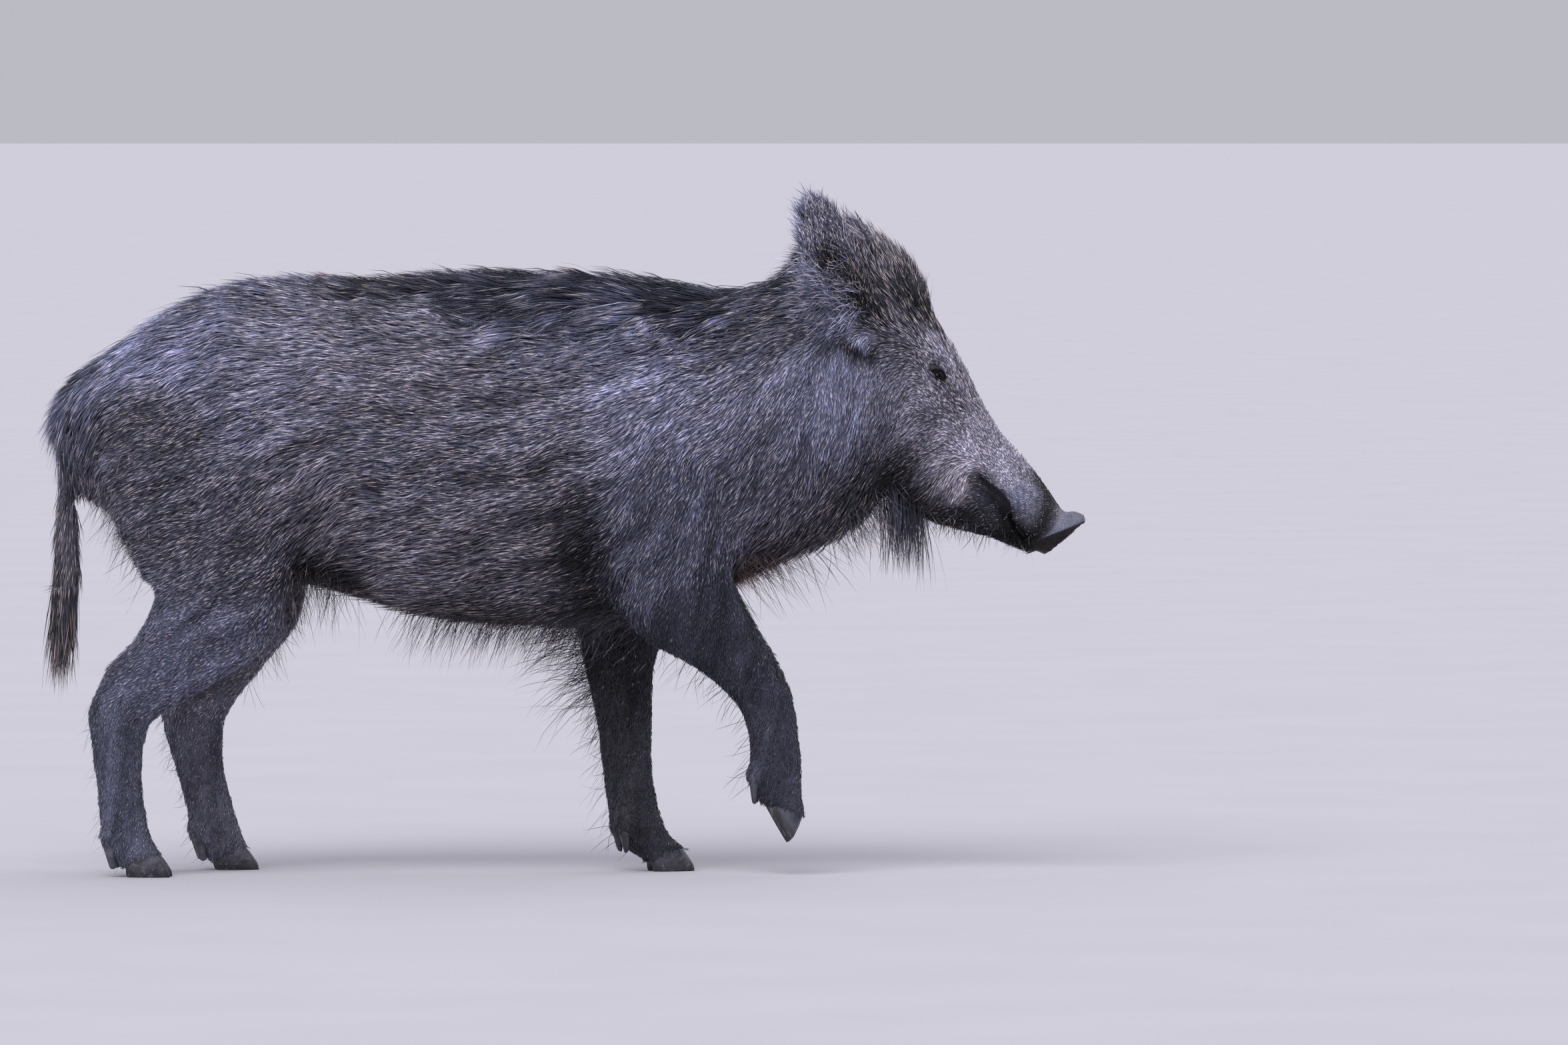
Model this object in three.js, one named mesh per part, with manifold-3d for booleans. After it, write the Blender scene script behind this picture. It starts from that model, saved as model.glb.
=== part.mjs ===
// Wild boar sow, a still life-size model that walks with its right foreleg lifted.
// Millimetres. +X is forward, +Y is the animal's left, +Z is up, and the soles stand on Z = 0.
// The body is modelled whole, out to the tips of its coat, and is then parted with thin cuts.

import * as THREE from 'three';
import { mergeVertices } from 'three/addons/utils/BufferGeometryUtils.js';
import Module from 'manifold-3d';

const wasm = await Module();
wasm.setup();

// ---------------------------------------------------------------- driving dimensions

const GAP = 0.4;              // clearance left by every cut
const REACH = 3000;           // size of a cutting block, larger than the animal
const RIGHT = -1;
const LEFT = 1;

// Trunk and neck: upright sections along X.
// along X, top of coat, bottom of coat, half width, height of the widest place, crest narrowing
const TORSO = [
  [-679, 618, 588, 20, 602, 0.1],
  [-655, 656, 535, 66, 595, 0.2],
  [-605, 692, 480, 100, 585, 0.3],
  [-530, 744, 425, 121, 570, 0.35],
  [-440, 788, 392, 132, 560, 0.4],
  [-340, 797, 388, 138, 555, 0.45],
  [-240, 795, 350, 146, 545, 0.5],
  [-130, 803, 332, 152, 530, 0.55],
  [-20, 808, 324, 151, 530, 0.55],
  [70, 808, 330, 144, 540, 0.55],
  [140, 796, 348, 137, 560, 0.55],
  [205, 781, 372, 126, 580, 0.5],
  [265, 790, 398, 116, 600, 0.45],
  [325, 813, 420, 108, 620, 0.45],
  [385, 802, 447, 98, 640, 0.4],
  [430, 756, 500, 70, 650, 0.2],
];

// The head has a frame of its own: `along` runs from the poll to the snout, and `above` is
// square to it, towards the forehead.
const HEAD_ORIGIN = [400, 700];
const HEAD_DROP = THREE.MathUtils.degToRad(50);

// Skull and snout: along, above at the top, above at the bottom, half width, widest place, crest
const SKULL = [
  [-75, 45, -60, 60, -10, 0],
  [-35, 76, -95, 84, -20, 0.1],
  [12, 93, -104, 89, -25, 0.1],
  [55, 90, -106, 84, -25, 0.15],
  [100, 83, -100, 77, -20, 0.15],
  [146, 71, -92, 67, -20, 0.15],
  [195, 62, -70, 52, -10, 0.1],
  [238, 62, -30, 43, 5, 0.1],
  [278, 61, -10, 39, 15, 0.1],
  [318, 57, -4, 37, 22, 0.1],
  [346, 54, -3, 35, 25, 0.05],
];

// Lower jaw: the same columns.
const JAW = [
  [110, -10, -96, 58, -45, 0],
  [165, -5, -104, 55, -45, 0],
  [225, -3, -96, 45, -38, 0],
  [262, -3, -69, 37, -28, 0],
  [295, -3, -44, 29, -20, 0],
  [325, -3, -25, 23, -13, 0],
  [353, -5, -13, 15, -9, 0],
];

// Long hair that stands clear of the body: the columns of the torso.
const HAIR = {
  crown_hair: [
    [306, 822, 760, 18, 780, 0.4],
    [340, 866, 740, 36, 780, 0.5],
    [375, 878, 720, 46, 770, 0.5],
    [405, 855, 700, 52, 760, 0.5],
    [440, 835, 690, 52, 750, 0.45],
    [468, 805, 690, 44, 730, 0.4],
    [486, 762, 700, 26, 720, 0.2],
  ],
  throat_beard: [
    [388, 520, 444, 14, 500, 0],
    [418, 530, 420, 28, 500, 0],
    [448, 530, 399, 30, 500, 0],
    [476, 520, 428, 14, 500, 0],
  ],
  belly_fringe: [
    [-262, 400, 343, 16, 385, 0],
    [-200, 400, 316, 52, 380, 0],
    [-110, 400, 298, 66, 375, 0],
    [-30, 400, 294, 58, 370, 0],
    [24, 400, 304, 34, 370, 0],
  ],
};

// The neck lies between these two cuts: along X, height, and how far each leans back.
const NECK_FRONT = { x: 372, z: 700, lean: 0.22 };
const NECK_BACK = { x: 235, z: 600, lean: 0.18 };

const DISC = { start: 342, end: 364, top: 74, bottom: -3, lift: 62, halfWidth: 33 };
const NOSTRIL = { above: 36, aside: 13, radius: 7.5, depth: 12 };
const MOUTH = { corner: 226, line: -4 };

// The eyeball sits a little way in, and looks outward, forward and up.
const EYE = { x: 491, y: 43, z: 655, radius: 11.5, look: [0.36, 0.87, 0.32], opening: 9 };

// Ear: sections from the root to the tip.
// along X, aside, height, half width of the blade, half thickness
const EAR = [
  [396, 52, 704, 24, 20],
  [383, 64, 738, 36, 22],
  [363, 77, 784, 42, 20],
  [347, 89, 830, 38, 15],
  [339, 97, 866, 32, 10],
  [333, 103, 895, 13, 5],
];
const EAR_TURN = THREE.MathUtils.degToRad(-16);
const CONCHA = { low: 0.3, high: 0.92, depth: 0.55, width: 0.62 };

// Tail: along X, across, height, half thickness along X, half thickness across.
const TAIL = [
  [-628, 0, 628, 24, 22],
  [-651, -4, 590, 18, 17],
  [-654, -8, 520, 14, 13],
  [-655, -10, 450, 18, 14],
  [-656, -10, 380, 19, 15],
  [-660, -9, 315, 23, 18],
  [-673, -8, 260, 9, 8],
];
const TUFT_TOP = 380;

// Legs: half length and half width of the leg, coat included, at each named place.
const HIND_GIRTH = {
  haunch: [64, 26],
  rump: [108, 54],
  thigh: [112, 55],
  stifle: [94, 49],
  gaskin: [57, 34],
  hock: [45, 27],
  cannon: [31, 21],
  fetlock: [31, 24],
  coronet: [31, 25],
};
const FORE_GIRTH = {
  shoulder: [58, 26],
  blade: [98, 56],
  arm: [102, 58],
  elbow: [82, 50],
  forearm: [51, 34],
  carpus: [37, 27],
  cannon: [33, 21],
  fetlock: [33, 24],
  coronet: [27, 24],
};

// Each stretch of a leg, from the top, and the place where it is parted from the next one.
const HIND_CUTS = { thigh: 'stifle', shank: 'hock' };
const FORE_CUTS = { upper_arm: 'elbow', forearm: 'carpus' };

// Where those places are on each leg: along X, outward, height. The foot's sole is centred on
// `at`, pitched toe down and turned outward below the fetlock, and its dewclaws hang from
// `claw` to `clawTip`.
const LEGS = {
  hindleg_right: {
    side: RIGHT,
    girth: HIND_GIRTH,
    cuts: HIND_CUTS,
    places: {
      haunch: [-530, 78, 650],
      rump: [-515, 82, 575],
      thigh: [-468, 88, 465],
      stifle: [-447, 92, 370],
      gaskin: [-514, 92, 286],
      hock: [-579, 90, 226],
      cannon: [-584, 90, 140],
      fetlock: [-576, 91, 62],
      coronet: [-565, 92, 27],
    },
    foot: { at: [-544, 93, 0], pitch: 0, turn: 6, claw: [-598, 56], clawTip: [-588, 10] },
  },
  hindleg_left: {
    side: LEFT,
    girth: HIND_GIRTH,
    cuts: HIND_CUTS,
    places: {
      haunch: [-520, 78, 650],
      rump: [-503, 82, 575],
      thigh: [-455, 86, 465],
      stifle: [-432, 86, 370],
      gaskin: [-460, 80, 285],
      hock: [-493, 75, 214],
      cannon: [-483, 73, 130],
      fetlock: [-466, 73, 62],
      coronet: [-455, 73, 27],
    },
    foot: { at: [-437, 74, 0], pitch: 0, turn: 8, claw: [-492, 58], clawTip: [-481, 12] },
  },
  foreleg_right: {
    side: RIGHT,
    girth: FORE_GIRTH,
    cuts: FORE_CUTS,
    places: {
      shoulder: [112, 78, 628],
      blade: [118, 86, 560],
      arm: [130, 90, 455],
      elbow: [150, 84, 376],
      forearm: [209, 72, 311],
      carpus: [262, 66, 242],
      cannon: [277, 63, 182],
      fetlock: [280, 62, 138],
      coronet: [287, 61, 92],
    },
    foot: { at: [280, 60, 69], pitch: 60, turn: 4, claw: [251, 137], clawTip: [252, 87] },
  },
  foreleg_left: {
    side: LEFT,
    girth: FORE_GIRTH,
    cuts: FORE_CUTS,
    places: {
      shoulder: [114, 78, 628],
      blade: [118, 86, 560],
      arm: [112, 88, 455],
      elbow: [84, 72, 372],
      forearm: [72, 54, 292],
      carpus: [79, 42, 202],
      cannon: [83, 37, 132],
      fetlock: [94, 32, 70],
      coronet: [115, 37, 34],
    },
    foot: { at: [141, 29, 0], pitch: 0, turn: 18, claw: [70, 66], clawTip: [77, 18] },
  },
};

// One half of a cloven hoof, from the sole up: height, toe, heel, half width.
const HOOF = [
  [0, 33, -30, 9.5],
  [10, 30, -31, 10.5],
  [24, 20, -30, 10.5],
  [37, 8, -26, 9.5],
];
const HOOF_SPREAD = 12.5;
const DEWCLAW = { root: 10, tip: 5.5, aside: 17 };

// Rings along each body and points round each ring.
const DETAIL = {
  torso: [21, 18],
  skull: [13, 16],
  jaw: [7, 12],
  hair: [5, 10],
  limb: [17, 12],
  tail: [12, 8],
  ear: [7, 10],
  disc: [4, 16],
};

const COLOURS = {
  coat: '#5a5866',
  crown: '#45434f',
  leg: '#3d3b44',
  shank: '#2f2d33',
  jaw: '#2b292e',
  ear: '#4b4955',
  tail: '#4f4a4c',
  disc: '#57545c',
  eye: '#15100e',
  hoof: '#33302f',
};

// ---------------------------------------------------------------- shape helpers

// A smooth value between keyed rows, for t from 0 to 1.
function blendRows(rows, t) {
  const last = rows.length - 1;
  const place = Math.min(Math.max(t, 0), 1) * last;
  const i = Math.min(Math.floor(place), last - 1);
  const f = place - i;
  const before = rows[Math.max(i - 1, 0)];
  const after = rows[Math.min(i + 2, last)];
  return rows[i].map((start, k) => {
    const end = rows[i + 1][k];
    const slopeIn = (end - before[k]) / 2;
    const slopeOut = (after[k] - start) / 2;
    const a = 2 * start - 2 * end + slopeIn + slopeOut;
    const b = 3 * end - 3 * start - 2 * slopeIn - slopeOut;
    return ((a * f + b) * f + slopeIn) * f + start;
  });
}

// A closed body through rings of equal length, with flat ends.
function skinRings(rings) {
  const sides = rings[0].length;
  const last = rings.length - 1;
  const points = rings.flat();
  const index = [];
  for (let r = 0; r < last; r += 1) {
    for (let s = 0; s < sides; s += 1) {
      const a = r * sides + s;
      const b = r * sides + (s + 1) % sides;
      index.push(a, b, b + sides, a, b + sides, a + sides);
    }
  }
  for (const [ring, flip] of [[0, true], [last, false]]) {
    const middle = new THREE.Vector3();
    rings[ring].forEach((p) => middle.addScaledVector(p, 1 / sides));
    const centre = points.push(middle) - 1;
    for (let s = 0; s < sides; s += 1) {
      const a = ring * sides + s;
      const b = ring * sides + (s + 1) % sides;
      index.push(centre, flip ? b : a, flip ? a : b);
    }
  }
  const geometry = new THREE.BufferGeometry().setFromPoints(points);
  geometry.setIndex(index);
  return facingOut(geometry);
}

// Six times the signed volume of a closed mesh.
function signedVolume(geometry) {
  const [p, q, r] = [new THREE.Vector3(), new THREE.Vector3(), new THREE.Vector3()];
  const { position } = geometry.attributes;
  const { array } = geometry.index;
  let total = 0;
  for (let i = 0; i < array.length; i += 3) {
    p.fromBufferAttribute(position, array[i]);
    q.fromBufferAttribute(position, array[i + 1]);
    r.fromBufferAttribute(position, array[i + 2]);
    total += p.dot(q.cross(r));
  }
  return total;
}

function facingOut(geometry) {
  if (signedVolume(geometry) < 0) {
    geometry.index.array.reverse();
  }
  return geometry;
}

// The points of one oval section. `place` turns (across, up) into a point, and the section
// reaches up and down by different amounts from its widest place.
function oval(sides, halfWidth, up, down, crest, place) {
  const ring = [];
  for (let s = 0; s < sides; s += 1) {
    const angle = 2 * Math.PI * s / sides;
    const rise = Math.sin(angle);
    const narrow = rise > 0 ? 1 - crest * rise * rise : 1;
    ring.push(place(halfWidth * Math.cos(angle) * narrow, rise * (rise > 0 ? up : down)));
  }
  return ring;
}

// -1 at the first ring, 1 at the last one and 0 between them.
const endSign = (i, steps) => (i === steps) - (i === 0);

// A body of upright sections. `toWorld` places (along, across, above).
function sectionBody(rows, steps, sides, toWorld, swell = 0) {
  const rings = [];
  for (let i = 0; i <= steps; i += 1) {
    const [along, top, bottom, halfWidth, widest, crest] = blendRows(rows, i / steps);
    const up = top - widest + swell;
    const down = widest - bottom + swell;
    const end = along + endSign(i, steps) * swell;
    const place = (across, above) => toWorld(end, across, widest + above);
    rings.push(oval(sides, halfWidth + swell, up, down, crest, place));
  }
  return skinRings(rings);
}

// A limb along a bent line. Each row: centre, half length and half width of its section.
function limbBody(rows, steps, sides, swell = 0) {
  const rings = [];
  const aside = new THREE.Vector3(0, 1, 0);
  const centreAt = (t) => new THREE.Vector3(...blendRows(rows, t).slice(0, 3));
  for (let i = 0; i <= steps; i += 1) {
    const t = i / steps;
    const [x, y, z, halfLength, halfWidth] = blendRows(rows, t);
    const centre = new THREE.Vector3(x, y, z);
    const run = centreAt(t + 0.02).sub(centreAt(t - 0.02)).normalize();
    const fore = new THREE.Vector3().crossVectors(aside, run).normalize();
    centre.addScaledVector(run, endSign(i, steps) * swell);
    const place = (across, length) => centre.clone()
      .addScaledVector(aside, across)
      .addScaledVector(fore, length);
    const half = halfLength + swell;
    rings.push(oval(sides, halfWidth + swell, half, half, 0, place));
  }
  return skinRings(rings);
}

const upright = (along, across, above) => new THREE.Vector3(along, across, above);

// A point of the head's own frame.
function onHead(along, across, above) {
  const [x, z] = HEAD_ORIGIN;
  const cos = Math.cos(HEAD_DROP);
  const sin = Math.sin(HEAD_DROP);
  return new THREE.Vector3(x + along * cos + above * sin, across, z - along * sin + above * cos);
}

function ball(centre, radius) {
  return new THREE.SphereGeometry(radius, 10, 8).translate(...centre);
}

// A rod with a different radius at each end, from `from` to `to`.
function rod(from, to, startRadius, endRadius, sides = 12) {
  const run = to.clone().sub(from);
  const geometry = new THREE.CylinderGeometry(endRadius, startRadius, run.length(), sides);
  const turn = new THREE.Quaternion()
    .setFromUnitVectors(new THREE.Vector3(0, 1, 0), run.clone().normalize());
  return geometry.applyQuaternion(turn).translate(...from.clone().add(to).multiplyScalar(0.5));
}

// ---------------------------------------------------------------- joins and cuts

function solid(geometry) {
  const bare = geometry.clone();
  bare.deleteAttribute('normal');
  bare.deleteAttribute('uv');
  const merged = mergeVertices(bare, 1e-4);
  return new wasm.Manifold(new wasm.Mesh({
    numProp: 3,
    vertProperties: new Float32Array(merged.attributes.position.array),
    triVerts: new Uint32Array(merged.index.array),
  }));
}

function geometryOf(body) {
  const mesh = body.getMesh();
  const geometry = new THREE.BufferGeometry();
  geometry.setAttribute('position', new THREE.BufferAttribute(mesh.vertProperties, 3));
  geometry.setIndex(new THREE.BufferAttribute(mesh.triVerts, 1));
  return geometry;
}

// All that lies ahead of a plane, in the direction of its normal.
function ahead(point, normal, back = 0) {
  const block = new THREE.BoxGeometry(REACH, REACH, REACH).translate(0, 0, REACH / 2 - back);
  const turn = new THREE.Quaternion()
    .setFromUnitVectors(new THREE.Vector3(0, 0, 1), normal.clone().normalize());
  return solid(block.applyQuaternion(turn).translate(...point));
}

// Parts a body at a plane and gives back [what is ahead, what is behind].
function partAt(body, point, normal) {
  return [body.intersect(ahead(point, normal)), body.subtract(ahead(point, normal, GAP))];
}

// Parts a body with an upright cut that leans back by `lean` for each unit of height.
function partAcross(body, { x, z, lean }) {
  return partAt(body, new THREE.Vector3(x, 0, z), new THREE.Vector3(1, 0, lean));
}

// ---------------------------------------------------------------- pieces

const model = new THREE.Group();

function addPiece(name, body, colour, roughness = 0.9, metalness = 0) {
  const material = new THREE.MeshStandardMaterial({ color: colour, roughness, metalness });
  const mesh = new THREE.Mesh(geometryOf(body), material);
  mesh.name = name;
  model.add(mesh);
}

function limb(leg, swell = 0) {
  const rows = Object.entries(leg.places).map(([place, [x, out, z]]) => {
    return [x, out * leg.side, z, ...leg.girth[place]];
  });
  return solid(limbBody(rows, ...DETAIL.limb, swell));
}

// Turns a foot outward about the upright line through its fetlock.
function turnFoot(geometry, leg) {
  const [x, out] = leg.places.fetlock;
  const y = out * leg.side;
  return geometry.translate(-x, -y, 0)
    .rotateZ(THREE.MathUtils.degToRad(leg.foot.turn * leg.side))
    .translate(x, y, 0);
}

// One half of a hoof, `aside` from the middle of the foot.
function hoof(leg, aside, swell = 0) {
  const { at: [x, out, z], pitch } = leg.foot;
  const rings = HOOF.map(([height, toe, heel, halfWidth], level) => {
    const middle = (toe + heel) / 2;
    const half = (toe - heel) / 2 + swell;
    const z0 = height + (level === 0 ? -swell : swell);
    const place = (across, along) => new THREE.Vector3(middle + along, across, z0);
    return oval(10, halfWidth + swell, half, half, 0.35, place);
  });
  const geometry = skinRings(rings).translate(0, aside, 0)
    .rotateY(THREE.MathUtils.degToRad(pitch))
    .translate(x, out * leg.side, z);
  return solid(turnFoot(geometry, leg));
}

// One dewclaw, which hangs behind the foot.
function dewclaw(leg, aside, swell = 0) {
  const { at: [, out], claw, clawTip } = leg.foot;
  const y = out * leg.side + aside;
  const root = new THREE.Vector3(claw[0], y, claw[1]);
  const tip = new THREE.Vector3(clawTip[0], y, clawTip[1]);
  return solid(turnFoot(rod(root, tip, DEWCLAW.root + swell, DEWCLAW.tip + swell, 8), leg));
}

function ear(side, swell = 0) {
  const rows = EAR.map(([x, out, z, wide, thick]) => [x, out * side, z, wide, thick]);
  const [steps, sides] = DETAIL.ear;
  const cos = Math.cos(EAR_TURN);
  const sin = Math.sin(EAR_TURN) * side;
  const blade = [];
  const hollow = [];
  for (let i = 0; i <= steps; i += 1) {
    const t = i / steps;
    const [x, y, z, wide, thick] = blendRows(rows, t);
    const place = (across, length) => new THREE.Vector3(
      x + length * cos - across * sin,
      y + length * sin + across * cos,
      z,
    );
    blade.push(oval(sides, thick + swell, wide + swell, wide + swell, 0, place));
    if (t >= CONCHA.low && t <= CONCHA.high) {
      const outward = thick * (1.5 - CONCHA.depth) * side;
      const reach = wide * CONCHA.width;
      const scoop = (across, length) => place(outward + across, length);
      hollow.push(oval(10, thick * 0.75, reach, reach, 0, scoop));
    }
  }
  const body = solid(skinRings(blade));
  return swell > 0 ? body : body.subtract(solid(skinRings(hollow)));
}

// Head, neck and trunk in one, without the long hair.
function flesh(swell = 0) {
  return solid(sectionBody(TORSO, ...DETAIL.torso, upright, swell))
    .add(solid(sectionBody(SKULL, ...DETAIL.skull, onHead, swell)))
    .add(solid(sectionBody(JAW, ...DETAIL.jaw, onHead, swell)));
}

function noseDisc() {
  const { start, end, top, bottom, lift, halfWidth } = DISC;
  const centre = (top + bottom) / 2;
  const rows = [
    [start, lift, bottom + 8, halfWidth - 4, centre, 0.1],
    [start + 8, top - 4, bottom + 2, halfWidth - 1, centre, 0.1],
    [end - 5, top, bottom, halfWidth, centre, 0.1],
    [end, top - 2, bottom + 3, halfWidth - 3, centre, 0.1],
  ];
  let disc = solid(sectionBody(rows, ...DETAIL.disc, onHead));
  for (const side of [RIGHT, LEFT]) {
    const mouth = onHead(end + 2, NOSTRIL.aside * side, NOSTRIL.above);
    const depth = onHead(end - NOSTRIL.depth, NOSTRIL.aside * side, NOSTRIL.above);
    disc = disc.subtract(solid(rod(depth, mouth, NOSTRIL.radius * 0.6, NOSTRIL.radius, 8)));
  }
  return disc;
}

function addLeg(name, leg) {
  let whole = limb(leg);
  for (const [which, direction] of [['outer', leg.side], ['inner', -leg.side]]) {
    const hoofAside = HOOF_SPREAD * direction;
    const clawAside = DEWCLAW.aside * direction;
    whole = whole.subtract(hoof(leg, hoofAside, GAP)).subtract(dewclaw(leg, clawAside, GAP));
    addPiece(`${name}_hoof_${which}`, hoof(leg, hoofAside), COLOURS.hoof, 0.6);
    addPiece(`${name}_dewclaw_${which}`, dewclaw(leg, clawAside), COLOURS.hoof, 0.6);
  }
  const names = Object.keys(leg.places);
  for (const [stretch, place] of Object.entries(leg.cuts)) {
    const number = names.indexOf(place);
    const before = leg.places[names[number - 1]];
    const after = leg.places[names[number + 1]];
    const run = new THREE.Vector3(before[0] - after[0], 0, before[2] - after[2]);
    const [above, below] = partAt(whole, new THREE.Vector3(...leg.places[place]), run);
    addPiece(`${name}_${stretch}`, above, stretch === 'forearm' ? COLOURS.shank : COLOURS.leg);
    whole = below;
  }
  addPiece(`${name}_foot`, whole, COLOURS.shank);
}

function addEye(name, side) {
  const centre = new THREE.Vector3(EYE.x, EYE.y * side, EYE.z);
  const [forward, out, up] = EYE.look;
  const outside = new THREE.Vector3(forward, out * side, up).multiplyScalar(30).add(centre);
  const opening = rod(centre, outside, EYE.opening, EYE.opening + 8, 10);
  addPiece(name, solid(ball(centre, EYE.radius)), COLOURS.eye, 0.15);
  return solid(ball(centre, EYE.radius + GAP)).add(solid(opening));
}

function addTail() {
  const start = new THREE.Vector3(0, 0, TUFT_TOP);
  const upward = new THREE.Vector3(0, 0, 1);
  const [tail, tuft] = partAt(solid(limbBody(TAIL, ...DETAIL.tail)), start, upward);
  addPiece('tail', tail, COLOURS.tail);
  addPiece('tail_tuft', tuft, COLOURS.tail);
  return solid(limbBody(TAIL, ...DETAIL.tail, GAP));
}

// The snout ahead of the mouth corner is parted along the lips.
function addHead(whole) {
  const forward = onHead(1, 0, 0).sub(onHead(0, 0, 0));
  const downward = onHead(0, 0, -1).sub(onHead(0, 0, 0));
  const corner = onHead(MOUTH.corner, 0, MOUTH.line);
  const jaw = whole.intersect(ahead(corner, downward)).intersect(ahead(corner, forward));
  const room = ahead(corner, forward, GAP).intersect(ahead(corner, downward, GAP));
  const [, face] = partAt(whole.subtract(room), onHead(DISC.start, 0, 0), forward);
  addPiece('lower_jaw', jaw, COLOURS.jaw);
  addPiece('head', face, COLOURS.coat);
  addPiece('nose_disc', noseDisc(), COLOURS.disc, 0.5);
}

function build() {
  let body = flesh();
  let hair = flesh(GAP);
  for (const [name, leg] of Object.entries(LEGS)) {
    addLeg(name, leg);
    body = body.subtract(limb(leg, GAP));
    hair = hair.add(limb(leg, GAP));
  }
  for (const [side, name] of [[RIGHT, 'right'], [LEFT, 'left']]) {
    addPiece(`ear_${name}`, ear(side), COLOURS.ear);
    body = body.subtract(ear(side, GAP)).subtract(addEye(`eye_${name}`, side));
    hair = hair.add(ear(side, GAP));
  }
  body = body.subtract(addTail());
  for (const [name, rows] of Object.entries(HAIR)) {
    const lock = solid(sectionBody(rows, ...DETAIL.hair, upright));
    addPiece(name, lock.subtract(hair), COLOURS.crown);
  }

  const [neckAndHead, trunk] = partAcross(body, NECK_BACK);
  const [head, neck] = partAcross(neckAndHead, NECK_FRONT);
  addPiece('trunk', trunk, COLOURS.coat);
  addPiece('neck', neck, COLOURS.coat);
  addHead(head);
}

build();

const box = new THREE.Box3().setFromObject(model);
const middle = box.getCenter(new THREE.Vector3());
model.position.set(-middle.x, -middle.y, -box.min.z);

export default model;
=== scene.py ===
"""A life-size wild boar sow, walking with its right forefoot lifted.

One skin is drawn over all the flesh of the frame and lies inside it by the depth of the coat. A coat of
solid tufts grows from the skin, and the eyes, hooves and dewclaws are pieces of their own.
Lengths in the tables are millimetres; meshes are metres. +X is forward, +Y the animal's left, +Z up.
"""

import math
from functools import partial

import bmesh
import bpy
import numpy as np
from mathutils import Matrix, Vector
from mathutils.bvhtree import BVHTree


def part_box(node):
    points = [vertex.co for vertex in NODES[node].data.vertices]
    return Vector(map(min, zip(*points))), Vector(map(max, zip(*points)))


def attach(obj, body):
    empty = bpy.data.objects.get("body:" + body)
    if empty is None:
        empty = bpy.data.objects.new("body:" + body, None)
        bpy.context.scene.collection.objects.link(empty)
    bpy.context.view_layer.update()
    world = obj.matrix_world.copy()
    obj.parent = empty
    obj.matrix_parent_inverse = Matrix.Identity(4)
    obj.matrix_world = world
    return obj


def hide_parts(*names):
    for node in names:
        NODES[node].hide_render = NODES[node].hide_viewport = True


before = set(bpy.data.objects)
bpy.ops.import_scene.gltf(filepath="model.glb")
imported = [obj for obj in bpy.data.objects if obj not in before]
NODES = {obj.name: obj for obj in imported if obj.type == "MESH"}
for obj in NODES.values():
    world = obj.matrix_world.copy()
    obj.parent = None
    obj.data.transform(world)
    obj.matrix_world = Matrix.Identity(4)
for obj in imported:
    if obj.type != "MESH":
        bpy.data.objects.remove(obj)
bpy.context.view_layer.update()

MM = 0.001              # a millimetre, in metres
SEED = 20               # all chances start from it

# ------------------------------------------------------------------ the flesh and its regions

BODY = ["trunk", "neck"]
HEAD = ["head", "lower_jaw", "nose_disc"]
EARS = ["ear_right", "ear_left"]
HIND = ["thigh", "shank", "foot"]
FORE = ["upper_arm", "forearm", "foot"]
LEGS = {
    "hindleg_right": HIND,
    "hindleg_left": HIND,
    "foreleg_right": FORE,
    "foreleg_left": FORE,
}
LEG_NODES = [f"{leg}_{stretch}" for leg, stretches in LEGS.items() for stretch in stretches]
UPPER_LEGS = [name for name in LEG_NODES if name.endswith(("thigh", "upper_arm"))]
LOWER_LEGS = [name for name in LEG_NODES if name not in UPPER_LEGS]
FLESH = BODY + HEAD + EARS + ["tail"] + LEG_NODES
HOOVES = [f"{leg}_hoof_{half}" for leg in LEGS for half in ("outer", "inner")]
DEWCLAWS = [f"{leg}_dewclaw_{half}" for leg in LEGS for half in ("outer", "inner")]
EYES = ["eye_right", "eye_left"]

SKIN_GRID = 6.2         # spacing of the skin's mesh before the face is refined
OVERLAP = 0.5           # how far each node is swelled, to close the thin cuts between them
LIMB_SWELL = 2.0        # the same for shanks, forearms and feet, which lose it when they are smoothed
HOOF_SWELL = 5.0        # and for hooves, so that the skin reaches over their upper edge
CREST = "crown_hair"    # the crest between the ears: flesh is drawn up into it, to carry its hair

# Where skin gives way to horn: its height over the sole, how far it drops towards the heel and how
# much more it drops on a lifted foot. Then the part of the foot that the cut can touch, from the
# middle of the soles.
CORONET = {"height": 22, "slope": 0.4, "flexed": 1.0}
FOOT_CUT = {"away": 62, "above": 46, "behind": 44}
# The flesh that carries a dewclaw: the claw's upper part, the one below it, where between the two it
# ends, how far it reaches into the foot and how much thicker than the claw it is.
STUMP = {"upper": 0.6, "lower": 0.4, "share": 0.42, "reach": 30, "swell": 1.3}
# Where the skin's mesh is made finer: places in the head's frame, and the reach round each eye.
FINE_FACE = (((272, 0, 4), 72), ((272, 0, 2), 52), ((345, 0, 30), 62), ((355, 0, 36), 42))
FINE_EYE = (42, 27)

# How many rounds of smoothing each region takes: it rounds the facets and keeps small forms.
SMOOTHING = {
    "trunk": 60,
    "neck": 60,
    "head": 16,
    "lower_jaw": 9,
    "nose_disc": 2,
    "ear": 5,
    "tail": 5,
    "thigh": 34,
    "upper_arm": 34,
    "shank": 9,
    "forearm": 9,
    "foot": 6,
}

# ------------------------------------------------------------------ the coat, place by place

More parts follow.
